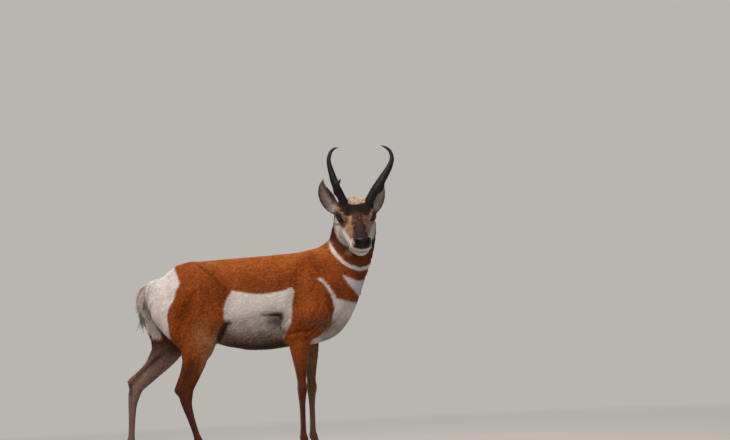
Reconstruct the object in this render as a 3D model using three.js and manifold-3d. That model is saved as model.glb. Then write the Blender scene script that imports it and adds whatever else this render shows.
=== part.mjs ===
// A standing pronghorn buck at life size, head turned to its right. Millimetres, +X to its front, +Y to its left, +Z up.
// Its flesh is one smooth distance field made of muscles. Each node is a loft cast onto that field and parted by cuts.
import * as THREE from "three";
import { LoftGeometry } from "three/addons/geometries/LoftGeometry.js";
import { mergeVertices } from "three/addons/utils/BufferGeometryUtils.js";
import Module from "manifold-3d";

const wasm = await Module();
wasm.setup();

// Driving dimensions
const GAP = 0.3; // between neighbouring nodes
const SLIVER = 0.04; // edges and steps smaller than this are smoothed away after the cuts
const TRUNK_SHAPE = 2.2; // power of the trunk's superelliptic section
const TRUNK_WAIST = 0.47; // how far up its section the trunk is widest
const HEAD_ORIGIN = new THREE.Vector3(488, -90, 981); // midway between the eyes
const HEAD_PITCH = THREE.MathUtils.degToRad(41.5); // of the line from eye to nostril, below level
const HEAD_YAW = THREE.MathUtils.degToRad(81); // of the head, from the body's front to its right
const EYE_RADIUS = 19;
const EYE_PLACE = new THREE.Vector3(2, 2, 62); // in the head's frame, for the left eye
const EYE_GAZE = new THREE.Vector3(0.42, 0.12, 0.9).normalize(); // where the left eye looks, in the head's frame
const LID_OPENING = new THREE.Vector3(16, 12, 15); // half length, half height and depth of the hollow in front of the eye
const LID_HALF_LENGTH = THREE.MathUtils.degToRad(52); // the lids' rim, as angles at the middle of the eye
const LID_HALF_HEIGHT = THREE.MathUtils.degToRad(38);
const LID_THICKNESS = 2.2;
const CORONET = 34; // height of the top of the hooves
const CLAW_GAP = 2; // half of the cleft between the two claws of a foot

// Trunk outline: station along X, back line, belly line, half width
const TRUNK = [
  [-392, 712, 668, 22],
  [-370, 748, 634, 70],
  [-320, 780, 600, 104],
  [-266, 807, 572, 122],
  [-200, 830, 536, 132],
  [-100, 837, 484, 130],
  [0, 840, 458, 142],
  [60, 842, 452, 146],
  [150, 846, 456, 141],
  [230, 850, 464, 130],
  [314, 853, 471, 118],
  [380, 836, 496, 106],
  [430, 798, 545, 88],
  [468, 750, 612, 64],
  [490, 708, 664, 28],
];

// Neck: centre x, y, z, half depth, half width
const NECK = [
  [330, 0, 700, 138, 94],
  [404, 0, 770, 118, 86],
  [455, 0, 850, 99, 77],
  [476, -4, 922, 93, 71],
  [480, -14, 968, 80, 62],
  [482, -22, 992, 50, 50],
];

// Legs: centre x, y, z, half depth, half width, from inside the body to the coronet; y is outward from the middle
const FORE_LEG = [
  [318, 76, 770, 60, 36],
  [336, 88, 670, 72, 44],
  [286, 92, 590, 76, 46],
  [236, 98, 530, 58, 42],
  [229, 98, 470, 46, 34],
  [229, 96, 420, 36, 28],
  [230, 94, 370, 27, 23],
  [230, 92, 325, 20.5, 20],
  [231, 91, 292, 22, 21.5],
  [229, 90, 262, 18, 17],
  [228, 89, 220, 13.5, 13],
  [227, 88, 150, 12.5, 12.5],
  [226, 88, 110, 14, 14.5],
  [227, 88, 88, 18, 18],
  [237, 88, 62, 14.5, 17],
  [248, 88, 38, 18, 22],
];
const FAR_FORE_STEP = 36; // the left foreleg stands this far ahead of the right
const HIND_LEG = [
  [-205, 66, 740, 88, 50],
  [-196, 84, 650, 100, 50],
  [-192, 94, 570, 94, 46],
  [-190, 98, 505, 80, 42],
  [-194, 99, 455, 56, 37],
  [-202, 97, 408, 42, 30],
  [-219, 94, 362, 34, 25],
  [-239, 92, 322, 32, 22],
  [-246, 91, 288, 30, 20],
  [-243, 90, 245, 22, 16],
  [-229, 89, 190, 16, 13.5],
  [-212, 88, 128, 14, 13],
  [-203, 88, 96, 18.5, 18],
  [-193, 88, 66, 15, 17],
  [-182, 88, 40, 18.5, 21.5],
];
const FAR_HIND_LEG = [
  [-232, 66, 740, 88, 50],
  [-262, 84, 655, 104, 50],
  [-285, 94, 585, 96, 46],
  [-306, 98, 520, 80, 42],
  [-334, 98, 462, 60, 36],
  [-369, 97, 408, 39, 30],
  [-414, 94, 366, 33, 25],
  [-452, 92, 333, 31, 22],
  [-468, 91, 298, 26, 20],
  [-478, 90, 250, 18.5, 16],
  [-483, 89, 195, 15, 13.5],
  [-488, 88, 132, 14, 13],
  [-491, 88, 98, 18.5, 18],
  [-481, 88, 66, 15, 17],
  [-470, 88, 40, 18.5, 21.5],
];

// Muscles that round out the limbs' roots: stations as for a leg
const SHOULDER_BLADE = [
  [292, 62, 800, 46, 34],
  [352, 84, 660, 60, 40],
];
const UPPER_ARM = [
  [366, 86, 620, 58, 44],
  [250, 98, 556, 56, 42],
];
const HAM = [
  [-335, 50, 716, 52, 44],
  [-318, 78, 630, 58, 44],
  [-260, 92, 536, 37, 35],
];
const FAR_HAM = [
  [-346, 50, 712, 56, 46],
  [-366, 80, 630, 58, 44],
  [-338, 92, 540, 46, 36],
];
const FLANK = [
  [-128, 74, 742, 70, 52],
  [-134, 96, 590, 62, 44],
];
const HEEL_CORD = [
  [-234, 94, 437, 14, 12],
  [-257, 92, 368, 9.5, 9.5],
  [-276, 91, 312, 13.5, 13],
];
const FAR_HEEL_CORD = [
  [-382, 96, 443, 14, 12],
  [-430, 93, 392, 10, 10],
  [-477, 91, 351, 13, 13],
];

// Head, in its own frame: x towards the nostrils, y up out of the forehead, z to the left
const MUZZLE = [
  [-20, -4, 0, 42, 48],
  [20, -8, 0, 42, 44],
  [60, -14, 0, 38, 37],
  [100, -18, 0, 35, 36],
  [132, -20, 0, 34, 39],
  [150, -21, 0, 33, 41],
];
const CHEEK = [
  [-34, -50, 36, 42, 32],
  [20, -54, 33, 40, 35],
  [80, -54, 20, 30, 31],
  [128, -54, 12, 22, 29],
];

// Horns: centre x, y, z, half depth, half width
const HORN_RIGHT = [
  [448, -84, 1012, 25, 17.5],
  [443, -86, 1031, 26, 17.4],
  [431, -89, 1062, 25, 15.8],
  [420, -92, 1088, 24, 15.2],
  [409, -93, 1117, 23, 15.2],
  [403, -92, 1137, 20, 15],
  [397, -90, 1160, 16, 13.4],
  [391, -87, 1185, 13, 11.4],
  [387, -83, 1210, 11, 9.4],
  [389, -78, 1231, 9.4, 8.2],
  [396, -73, 1249, 7.8, 7],
  [406, -69, 1260, 5.8, 5.3],
  [418, -66, 1266, 3.8, 3.6],
  [430, -64, 1267, 1.6, 1.6],
];
const HORN_LEFT = [
  [532, -72, 1012, 25, 17.5],
  [540, -74, 1031, 26, 17],
  [556, -77, 1062, 25, 16.2],
  [573, -80, 1088, 24, 16],
  [593, -81, 1114, 23, 16],
  [608, -80, 1137, 20, 15],
  [625, -78, 1162, 16, 13.2],
  [637, -75, 1184, 13, 11.4],
  [645, -71, 1206, 11, 9.4],
  [645, -66, 1226, 9.4, 8.1],
  [638, -61, 1244, 7.6, 6.7],
  [627, -57, 1256, 5.8, 5],
  [614, -54, 1263, 3.8, 3.4],
  [602, -52, 1268, 1.6, 1.6],
];
const PRONG = [
  [-2, 8, -30, 13, 7],
  [4, -10, -18, 17, 8],
  [11, -30, -6, 13, 6.5],
  [17, -46, 7, 7.5, 4.5],
  [22, -55, 17, 3, 2.5],
]; // from the horn's fork, in the same order

// Ears: centre x, y, z and half width from base to tip
const EAR_RIGHT = [
  [418, -42, 998, 15],
  [404, -42, 1016, 24],
  [388, -44, 1036, 30],
  [374, -45, 1060, 32],
  [361, -44, 1086, 26],
  [354, -41, 1110, 15],
  [356, -36, 1128, 6],
  [359, -32, 1138, 1.5],
];
const EAR_LEFT = [
  [548, -30, 992, 15],
  [558, -24, 1008, 23],
  [568, -22, 1028, 28],
  [577, -21, 1052, 30],
  [587, -20, 1078, 25],
  [596, -17, 1102, 15],
  [602, -12, 1120, 6],
  [604, -8, 1130, 1.5],
];
const EAR_THICKNESS = 5;

const TAIL = [
  [-352, 0, 744, 22, 22],
  [-386, 0, 734, 19, 22],
  [-408, 0, 704, 17, 25],
  [-416, 0, 664, 15, 24],
  [-416, 0, 628, 10, 16],
  [-414, 0, 606, 5, 8],
];

const v3 = (x, y, z) => new THREE.Vector3(x, y, z);

// A smooth curve through stations at uneven places, read at x
function through(places, values, x) {
  const last = places.length - 1;
  let i = 0;
  while (i < last - 1 && x > places[i + 1]) i += 1;
  const slope = (k) => {
    const a = Math.max(k - 1, 0);
    const b = Math.min(k + 1, last);
    return (values[b] - values[a]) / (places[b] - places[a]);
  };
  const span = places[i + 1] - places[i];
  const t = THREE.MathUtils.clamp((x - places[i]) / span, 0, 1);
  const t2 = t * t;
  const t3 = t2 * t;
  return (
    values[i] * (2 * t3 - 3 * t2 + 1) +
    values[i + 1] * (3 * t2 - 2 * t3) +
    slope(i) * span * (t3 - 2 * t2 + t) +
    slope(i + 1) * span * (t3 - t2)
  );
}

// Distance fields: each is a function of a point, negative inside, in millimetres near its surface

const smoothUnion = (a, b, blend) => {
  const h = Math.max(blend - Math.abs(a - b), 0) / blend;
  return Math.min(a, b) - (h * h * blend) / 4;
};

const smoothCut = (a, b, blend) => -smoothUnion(-a, b, blend);

function trunkField(p) {
  const places = TRUNK.map((s) => s[0]);
  const x = THREE.MathUtils.clamp(p.x, places[0], places.at(-1));
  const [top, bottom, half] = [1, 2, 3].map((k) => through(places, TRUNK.map((s) => s[k]), x));
  const middle = bottom + TRUNK_WAIST * (top - bottom);
  const height = p.z > middle ? top - middle : middle - bottom;
  const ratio = Math.pow(
    Math.pow(Math.abs(p.y) / half, TRUNK_SHAPE) + Math.pow(Math.abs(p.z - middle) / height, TRUNK_SHAPE),
    1 / TRUNK_SHAPE,
  );
  const across = (ratio - 1) * Math.min(half, height);
  const past = p.x - x;
  return past === 0 ? across : Math.hypot(Math.max(across, 0), past);
}

// A limb swept through stations of x, y, z, half depth and half width, its width across the given side direction
function sweepField(stations, side, perSpan = 3) {
  const index = stations.map((_, i) => i);
  const fine = [];
  for (let i = 0; i <= (stations.length - 1) * perSpan; i += 1) {
    fine.push([0, 1, 2, 3, 4].map((k) => through(index, stations.map((s) => s[k]), i / perSpan)));
  }
  const points = fine.map((s) => v3(s[0], s[1], s[2]));
  const along = v3(0, 0, 0);
  const off = v3(0, 0, 0);
  return (p) => {
    let best = Infinity;
    for (let i = 0; i < points.length - 1; i += 1) {
      along.subVectors(points[i + 1], points[i]);
      off.subVectors(p, points[i]);
      const t = THREE.MathUtils.clamp(off.dot(along) / along.lengthSq(), 0, 1);
      off.addScaledVector(along, -t);
      const across = off.dot(side);
      const rest = Math.sqrt(Math.max(off.lengthSq() - across * across, 0));
      const depth = fine[i][3] + t * (fine[i + 1][3] - fine[i][3]);
      const width = fine[i][4] + t * (fine[i + 1][4] - fine[i][4]);
      best = Math.min(best, (Math.hypot(across / width, rest / depth) - 1) * Math.min(depth, width));
    }
    return best;
  };
}

function ellipsoidField(centre, radii) {
  const q = v3(0, 0, 0);
  return (p) => {
    q.subVectors(p, centre).divide(radii);
    const near = q.length();
    return (near * (near - 1)) / Math.max(q.divide(radii).length(), 1e-6);
  };
}

// Body and head frames
const LEFT = v3(0, 1, 0);
const HEAD = new THREE.Matrix4().makeBasis(
  v3(Math.cos(HEAD_YAW) * Math.cos(HEAD_PITCH), -Math.sin(HEAD_YAW) * Math.cos(HEAD_PITCH), -Math.sin(HEAD_PITCH)),
  v3(Math.cos(HEAD_YAW) * Math.sin(HEAD_PITCH), -Math.sin(HEAD_YAW) * Math.sin(HEAD_PITCH), Math.cos(HEAD_PITCH)),
  v3(Math.sin(HEAD_YAW), Math.cos(HEAD_YAW), 0),
);
HEAD.setPosition(HEAD_ORIGIN);
const INTO_HEAD = HEAD.clone().invert();
const headPoint = (x, y, z) => v3(x, y, z).applyMatrix4(HEAD);

// Stations of the leg of a side: 1 is left, -1 is right
const sided = (stations, side, step = 0) =>
  stations.map(([x, y, ...rest]) => [x + step, y * side, ...rest]);

const legs = {
  fore_leg_right: { stations: sided(FORE_LEG, -1), muscles: [SHOULDER_BLADE, UPPER_ARM], side: -1 },
  fore_leg_left: {
    stations: sided(FORE_LEG, 1).map(([x, y, z, ...rest]) => [
      x + FAR_FORE_STEP * THREE.MathUtils.smoothstep(-z, -640, -440), y, z, ...rest,
    ]),
    muscles: [SHOULDER_BLADE, UPPER_ARM],
    side: 1,
  },
  hind_leg_right: { stations: sided(HIND_LEG, -1), muscles: [HAM, FLANK, HEEL_CORD], side: -1 },
  hind_leg_left: { stations: sided(FAR_HIND_LEG, 1), muscles: [FAR_HAM, FLANK, FAR_HEEL_CORD], side: 1 },
};
const limbFields = [];
const stumpFields = [];
for (const leg of Object.values(legs)) {
  limbFields.push([sweepField(leg.stations, LEFT), 34]);
  stumpFields.push([sweepField(leg.stations.slice(0, 4), LEFT), 34]);
  for (const muscle of leg.muscles) {
    const rounded = [sweepField(sided(muscle, leg.side), LEFT, 2), 26];
    limbFields.push(rounded);
    stumpFields.push(rounded);
  }
}

const neckField = sweepField(NECK, LEFT);

const headParts = [
  [ellipsoidField(v3(-46, -4, 0), v3(54, 36, 60)), 0],
  [sweepField(MUZZLE, v3(0, 0, 1)), 30],
  [ellipsoidField(v3(158, -5, 0), v3(21, 25, 34)), 14],
  [ellipsoidField(v3(154, -30, 0), v3(21, 20, 38)), 12],
  [ellipsoidField(v3(149, -60, 0), v3(24, 16, 27)), 8],
];
for (const side of [1, -1]) {
  headParts.push([sweepField(CHEEK.map(([x, y, z, ...r]) => [x, y, z * side, ...r]), v3(0, 0, 1), 2), 24]);
  headParts.push([ellipsoidField(v3(EYE_PLACE.x - 3, EYE_PLACE.y, (EYE_PLACE.z - 3) * side), v3(30, 22, 23)), 18]);
  headParts.push([ellipsoidField(v3(-24, 20, 48 * side), v3(38, 18, 30)), 16]);
  headParts.push([ellipsoidField(v3(-38, 22, 42 * side), v3(28, 24, 26)), 20]);
  headParts.push([ellipsoidField(v3(-80, -18, 54 * side), v3(26, 26, 24)), 20]);
}
const local = v3(0, 0, 0);
function headField(p) {
  local.copy(p).applyMatrix4(INTO_HEAD);
  let d = Infinity;
  for (const [part, blend] of headParts) d = blend ? smoothUnion(d, part(local), blend) : part(local);
  return d;
}

const joined = (fields) => (p) => {
  let d = trunkField(p);
  for (const [limb, blend] of fields) d = smoothUnion(d, limb(p), blend);
  return smoothUnion(d, neckField(p), 30);
};
const bodyField = joined(limbFields);
const torsoField = joined(stumpFields);

const wholeField = (p) => smoothUnion(bodyField(p), headField(p), 34);

// Casting: rings of rays leave a spine and stop where they leave the field, or at their reach.
// The rings stand square to the spine, or to the axis where one is given.
function castLoft(field, spine, { sides, rings, reach, axis, start = 3, end = 3, up = v3(0, 0, 1), spread = (t) => t }) {
  const curve = new THREE.CatmullRomCurve3(spine, false, "centripetal");
  const sections = [];
  const ringAt = (t, tilt) => {
    const origin = curve.getPointAt(t);
    const tangent = axis ?? curve.getTangentAt(t);
    const right = v3(0, 0, 0).crossVectors(tangent, up).normalize();
    const over = v3(0, 0, 0).crossVectors(right, tangent);
    const ring = [];
    for (let i = 0; i < sides; i += 1) {
      const angle = (2 * Math.PI * i) / sides;
      const ray = v3(0, 0, 0)
        .addScaledVector(over, Math.cos(angle) * Math.cos(tilt))
        .addScaledVector(right, Math.sin(angle) * Math.cos(tilt))
        .addScaledVector(tangent, Math.sin(tilt));
      ring.push(castRay(field, origin, ray, reach(t)));
    }
    sections.push(ring);
  };
  for (let i = 0; i < start; i += 1) ringAt(0, (-Math.PI / 2) * (1 - i / start));
  for (let i = 0; i <= rings; i += 1) ringAt(spread(i / rings), 0);
  for (let i = end - 1; i >= 0; i -= 1) ringAt(1, (Math.PI / 2) * (1 - i / end));
  return new LoftGeometry(sections); // its first and last rings are single points
}

function castRay(field, origin, ray, reach) {
  const step = 6;
  const p = v3(0, 0, 0);
  let inside = 0;
  let outside = reach;
  for (let d = step; d < reach; d += step) {
    if (field(p.copy(origin).addScaledVector(ray, d)) > 0) {
      outside = d;
      break;
    }
    inside = d;
  }
  for (let i = 0; i < 12 && outside < reach; i += 1) {
    const middle = (inside + outside) / 2;
    if (field(p.copy(origin).addScaledVector(ray, middle)) > 0) outside = middle;
    else inside = middle;
  }
  return p.copy(origin).addScaledVector(ray, outside).clone();
}

// Solids
function solid(geometry) {
  const bare = new THREE.BufferGeometry().setAttribute("position", geometry.getAttribute("position"));
  const merged = mergeVertices(bare.setIndex(geometry.index), 1e-3);
  const faces = [];
  for (let i = 0; i < merged.index.count; i += 3) {
    const [a, b, c] = [0, 1, 2].map((k) => merged.index.getX(i + k));
    if (a !== b && b !== c && a !== c) faces.push(a, b, c);
  }
  const made = new wasm.Manifold(
    new wasm.Mesh({ numProp: 3, vertProperties: merged.attributes.position.array, triVerts: new Uint32Array(faces) }),
  );
  if (made.volume() > 0) return made;
  for (let i = 0; i < faces.length; i += 3) [faces[i], faces[i + 1]] = [faces[i + 1], faces[i]];
  return new wasm.Manifold(
    new wasm.Mesh({ numProp: 3, vertProperties: merged.attributes.position.array, triVerts: new Uint32Array(faces) }),
  );
}

const largest = (made) => made.decompose().sort((a, b) => b.volume() - a.volume())[0];

function geometryOf(made) {
  const mesh = largest(largest(made).simplify(SLIVER)).getMesh();
  const geometry = new THREE.BufferGeometry();
  geometry.setAttribute("position", new THREE.BufferAttribute(mesh.vertProperties, 3));
  geometry.setIndex(new THREE.BufferAttribute(mesh.triVerts, 1));
  geometry.computeVertexNormals();
  return geometry;
}

// A block that fills everything on the side of a plane that its normal points to
function halfSpace(point, normal) {
  const size = 3000;
  const block = new THREE.BoxGeometry(size, size, size).translate(0, 0, size / 2);
  block.applyQuaternion(new THREE.Quaternion().setFromUnitVectors(v3(0, 0, 1), normal.clone().normalize()));
  return solid(block.translate(point.x, point.y, point.z));
}

// A prism through an outline drawn in side view, from the inner plane outward on one side of the body
function sidePrism(outline, inner, side, grow) {
  const shape = new THREE.Shape(outline.map(([x, z]) => new THREE.Vector2(x, z)));
  const prism = new THREE.ExtrudeGeometry(shape, { depth: 400, bevelEnabled: false });
  prism.rotateX(Math.PI / 2); // the outline's height becomes Z, and the extrusion runs to -Y
  prism.translate(0, side > 0 ? 400 + inner - grow : -inner + grow, 0);
  return solid(prism);
}

// An arch over a limb's root, open downward between a front and a back line
function limbOutline([x, z, radius], front, back, grow) {
  const outline = [];
  const steps = 14;
  for (let i = 0; i <= steps; i += 1) {
    const angle = (Math.PI * i) / steps;
    outline.push([x + (radius + grow) * Math.cos(angle), z + (radius + grow) * Math.sin(angle)]);
  }
  for (const [backX, backZ] of back) outline.push([backX - grow, backZ - grow]);
  for (const [frontX, frontZ] of front) outline.push([frontX + grow, frontZ - grow]);
  return outline;
}

const limbRegion = {
  fore_leg_right: (grow) =>
    sidePrism(limbOutline([284, 640, 106], [[390, -100], [390, 330]], [[150, 330], [150, -100]], grow), 58, -1, grow),
  fore_leg_left: (grow) =>
    sidePrism(limbOutline([290, 640, 106], [[410, -100], [410, 330]], [[160, 330], [160, -100]], grow), 58, 1, grow),
  hind_leg_right: (grow) =>
    sidePrism(limbOutline([-236, 620, 156], [[-80, -100], [-80, 330]], [[-392, 330], [-392, -100]], grow), 40, -1, grow),
  hind_leg_left: (grow) =>
    sidePrism(
      limbOutline(
        [-256, 620, 156],
        [[-300, -100], [-300, 330], [-204, 460], [-178, 540]],
        [[-620, 330], [-620, -100]],
        grow,
      ),
      40,
      1,
      grow,
    ),
};

// An elliptical tube through stations of x, y, z, half depth and half width, its width across the given side direction
function tube(stations, side, sides, { perSpan = 2, grow = 0 } = {}) {
  const index = stations.map((_, i) => i);
  const curve = new THREE.CatmullRomCurve3(stations.map(([x, y, z]) => v3(x, y, z)), false, "centripetal");
  const sections = [];
  const count = (stations.length - 1) * perSpan;
  for (let i = 0; i <= count; i += 1) {
    const tangent = curve.getTangent(i / count);
    const centre = curve.getPoint(i / count).addScaledVector(tangent, i === 0 ? -grow : i === count ? grow : 0);
    const deep = v3(0, 0, 0).crossVectors(tangent, side).normalize();
    const wide = v3(0, 0, 0).crossVectors(deep, tangent).normalize();
    const [depth, width] = [3, 4].map((k) => through(index, stations.map((s) => s[k]), i / perSpan) + grow);
    const ring = [];
    for (let k = 0; k < sides; k += 1) {
      const angle = (-2 * Math.PI * k) / sides;
      ring.push(
        centre.clone().addScaledVector(deep, depth * Math.cos(angle)).addScaledVector(wide, width * Math.sin(angle)),
      );
    }
    sections.push(ring);
  }
  return new LoftGeometry(sections, { capStart: true, capEnd: true });
}

// A flat tapered lock of hair from root to tip, its flat side facing out
function lock(root, tip, out, width, sag = 0) {
  const sections = [];
  const along = v3(0, 0, 0).subVectors(tip, root);
  const wide = v3(0, 0, 0).crossVectors(along, out).normalize();
  for (let i = 0; i <= 4; i += 1) {
    const t = i / 4;
    const centre = root.clone().addScaledVector(along, t).addScaledVector(out, sag * Math.sin(Math.PI * t));
    const half = (width / 2) * Math.sqrt(1 - 0.98 * t * t) * (0.75 + 0.25 * Math.sin(Math.PI * t));
    const thick = Math.max(half * 0.42, 0.6);
    sections.push([
      centre.clone().addScaledVector(wide, half),
      centre.clone().addScaledVector(out, -thick),
      centre.clone().addScaledVector(wide, -half),
      centre.clone().addScaledVector(out, thick),
    ]);
  }
  return solid(new LoftGeometry(sections, { capStart: true, capEnd: true }));
}

const nodes = new Map();
const finish = (colour, roughness) => new THREE.MeshStandardMaterial({ color: colour, roughness, metalness: 0 });
const looks = {
  coat: finish(0x9a4f22, 0.85),
  horn: finish(0x2a2220, 0.5),
  hoof: finish(0x1d1a19, 0.4),
  eye: finish(0x120c0a, 0.08),
};

// Torso
const torsoSpine = [v3(-318, 0, 700), v3(-200, 0, 690), v3(0, 0, 650), v3(200, 0, 650), v3(360, 0, 690)];
const torsoCast = castLoft(torsoField, torsoSpine, { sides: 34, rings: 24, start: 4, end: 5, reach: () => 270 });
const neckCutPoint = v3(440, 0, 792);
const neckCutNormal = v3(0.62, 0, 0.78).normalize();
let torso = solid(torsoCast).subtract(halfSpace(neckCutPoint, neckCutNormal));
for (const region of Object.values(limbRegion)) torso = torso.subtract(region(GAP));

// Neck
const headCutPoint = headPoint(-62, -60, 0);
const headCutNormal = v3(0.6, 0.8, 0).transformDirection(HEAD);
const neckSpine = NECK.map(([x, y, z]) => v3(x, y, z));
const neckCast = castLoft(wholeField, neckSpine, { sides: 30, rings: 18, reach: () => 170, up: v3(-1, 0, 0) });
const neck = solid(neckCast)
  .intersect(halfSpace(neckCutPoint.clone().addScaledVector(neckCutNormal, GAP), neckCutNormal))
  .subtract(halfSpace(headCutPoint, headCutNormal));
nodes.set("neck", [neck, looks.coat]);

// Head
const headSpine = [[-70, -16], [-30, -16], [20, -22], [80, -28], [142, -33]].map(([x, y]) => headPoint(x, y, 0));
const headFlesh = (p) => -smoothUnion(-wholeField(p), 14 - headField(p), 16);
const headCast = castLoft(headFlesh, headSpine, {
  sides: 34,
  rings: 32,
  spread: (t) => t - 0.07 * Math.sin(2 * Math.PI * (t + 0.14)) + 0.07 * Math.sin(2 * Math.PI * 0.14), // closest by the eyes
  end: 7,
  reach: () => 120,
  up: v3(0, 1, 0).transformDirection(HEAD),
});
let head = solid(headCast).intersect(halfSpace(headCutPoint.clone().addScaledVector(headCutNormal, GAP), headCutNormal));

// Eyes and the almond opening between the lids
for (const [name, side] of [["eye_left", 1], ["eye_right", -1]]) {
  const place = headPoint(EYE_PLACE.x, EYE_PLACE.y, EYE_PLACE.z * side);
  const gaze = v3(EYE_GAZE.x, EYE_GAZE.y, EYE_GAZE.z * side);
  const opening = new THREE.SphereGeometry(1, 14, 10).scale(LID_OPENING.x, LID_OPENING.y, LID_OPENING.z);
  opening.applyQuaternion(new THREE.Quaternion().setFromUnitVectors(v3(0, 0, 1), gaze));
  opening.translate(EYE_PLACE.x, EYE_PLACE.y, EYE_PLACE.z * side);
  opening.translate(gaze.x * EYE_RADIUS, gaze.y * EYE_RADIUS, gaze.z * EYE_RADIUS);
  head = head.subtract(solid(opening.applyMatrix4(HEAD)));
  const ball = new THREE.SphereGeometry(EYE_RADIUS, 14, 9).translate(place.x, place.y, place.z);
  const socket = new THREE.SphereGeometry(EYE_RADIUS + GAP, 14, 9).translate(place.x, place.y, place.z);
  nodes.set(name, [solid(ball), looks.eye]);

  const rim = [];
  for (let k = 0; k < 14; k += 1) {
    const angle = (2 * Math.PI * k) / 14;
    const turn = new THREE.Euler(-LID_HALF_HEIGHT * Math.sin(angle), LID_HALF_LENGTH * Math.cos(angle), 0);
    const ray = v3(0, 0, 1).applyEuler(turn).applyQuaternion(new THREE.Quaternion().setFromUnitVectors(v3(0, 0, 1), gaze));
    rim.push(ray.multiplyScalar(EYE_RADIUS + LID_THICKNESS + GAP).add(v3(EYE_PLACE.x, EYE_PLACE.y, EYE_PLACE.z * side)));
  }
  const lids = new THREE.TubeGeometry(new THREE.CatmullRomCurve3(rim, true), 18, LID_THICKNESS, 6, true);
  head = head.add(solid(lids.applyMatrix4(HEAD))).subtract(solid(socket));
}

// Nostrils
for (const side of [1, -1]) {
  const nostril = [
    [158, 15, 31, 2.5, 2.5],
    [165, 14, 28, 4, 4.5],
    [171, 9, 23, 6.5, 7.5],
    [176, 3, 18, 6.5, 7],
    [182, -3, 13, 4, 4.5],
  ].map(([x, y, z, ...r]) => [x, y, z * side, ...r]);
  head = head.subtract(solid(tube(nostril, v3(0, 0, 1), 10, { perSpan: 1 }).applyMatrix4(HEAD)));
}

// Line of the mouth, a groove laid on the surface from one corner round the lips to the other
const lipLine = [];
for (let i = 0; i <= 18; i += 1) {
  const angle = THREE.MathUtils.degToRad(-76 + (152 * i) / 18);
  const from = headPoint(92, -38, 0);
  const ray = v3(Math.cos(angle) * 1.25, -0.04, Math.sin(angle)).transformDirection(HEAD);
  const at = castRay(wholeField, from, ray, 130);
  const size = 1.2 + 2.2 * Math.sin((Math.PI * i) / 18);
  lipLine.push([...at.addScaledVector(ray, 1.5).toArray(), size * 1.6, size]);
}
head = head.subtract(solid(tube(lipLine, v3(0, 1, 0).transformDirection(HEAD), 6, { perSpan: 1 })));

// Tuft on the crown, between the horns
for (let i = 0; i < 6; i += 1) {
  const across = -1 + (2 * i) / 5;
  const root = headPoint(-48 - 6 * (i % 2), 22, 24 * across);
  const tip = headPoint(-84 - 10 * (i % 2), 48 - 12 * across * across, 30 * across);
  head = head.add(lock(root, tip, v3(0.5, 0.8, 0.3 * across).transformDirection(HEAD), 17, 5));
}

// Horns with their prongs
for (const [name, stations] of [["horn_left", HORN_LEFT], ["horn_right", HORN_RIGHT]]) {
  const side = v3(Math.cos(0.16), Math.sin(0.16), 0);
  const fork = stations[4];
  const prong = PRONG.map(([x, y, z, ...r]) => [fork[0] + x, fork[1] + y, fork[2] + z, ...r]);
  const horn = solid(tube(stations, side, 12)).add(solid(tube(prong, side, 8, { perSpan: 1 })));
  head = head.subtract(solid(tube(stations, side, 12, { grow: GAP + 0.2 })));
  nodes.set(name, [horn, looks.horn]);
}

// Ears, cupped towards the front
function ear(stations, lean, grow = 0) {
  const index = stations.map((_, i) => i);
  const curve = new THREE.CatmullRomCurve3(stations.map(([x, y, z]) => v3(x, y, z)), false, "centripetal");
  const sections = [];
  const count = (stations.length - 1) * 2;
  const arc = 6;
  for (let i = 0; i <= count; i += 1) {
    const t = i / count;
    const tangent = curve.getTangent(t);
    const centre = curve.getPoint(t).addScaledVector(tangent, i === 0 ? -grow : i === count ? grow : 0);
    const back = v3(lean * (1 - t), 1, 0).normalize();
    const wide = v3(0, 0, 0).crossVectors(tangent, back).normalize();
    const deep = v3(0, 0, 0).crossVectors(wide, tangent).normalize();
    const half = through(index, stations.map((s) => s[3]), i / 2);
    const cup = half * 0.72;
    const wall = Math.min(EAR_THICKNESS, half * 0.5);
    const hollow = THREE.MathUtils.smoothstep(t, 0.12, 0.3);
    const ring = [];
    for (let k = 0; k <= arc; k += 1) {
      const angle = Math.PI * (k / arc);
      ring.push([(half + grow) * Math.cos(angle), (cup + grow) * Math.sin(angle) - (k % arc === 0 ? grow : 0)]);
    }
    for (let k = 1; k < arc; k += 1) {
      const angle = Math.PI * (1 - k / arc);
      const depth = (cup - wall) * Math.sin(angle) * hollow - (1 - hollow) * half * 0.6 * Math.sin(angle);
      ring.push([(half - wall * 0.4) * Math.cos(angle), depth - grow]);
    }
    ring.reverse();
    sections.push(ring.map(([a, b]) => centre.clone().addScaledVector(wide, a).addScaledVector(deep, b - cup * 0.4)));
  }
  return solid(new LoftGeometry(sections, { capStart: true, capEnd: true }));
}
for (const [name, stations, lean] of [["ear_left", EAR_LEFT, -0.5], ["ear_right", EAR_RIGHT, 0.5]]) {
  head = head.subtract(ear(stations, lean, GAP + 0.4));
  nodes.set(name, [ear(stations, lean), looks.coat]);
}
nodes.set("head", [head, looks.coat]);

// Tail with its locks
let tail = solid(tube(TAIL, LEFT, 10));
for (let i = 0; i < 7; i += 1) {
  const across = -1 + (2 * i) / 6;
  const root = v3(-404 + 10 * Math.abs(across), 20 * across, 716 - 10 * Math.abs(across));
  const tip = v3(-420 - 8 * (1 - across * across), 26 * across, 606 + 36 * Math.abs(across) + 9 * (i % 2));
  tail = tail.add(lock(root, tip, v3(-1, across * 0.6, 0).normalize(), 15, 10));
}
torso = torso.subtract(solid(tube(TAIL.slice(0, 4), LEFT, 12, { grow: GAP + 0.3 })));
nodes.set("torso", [torso, looks.coat]);
nodes.set("tail", [tail.subtract(torso), looks.coat]);

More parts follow.
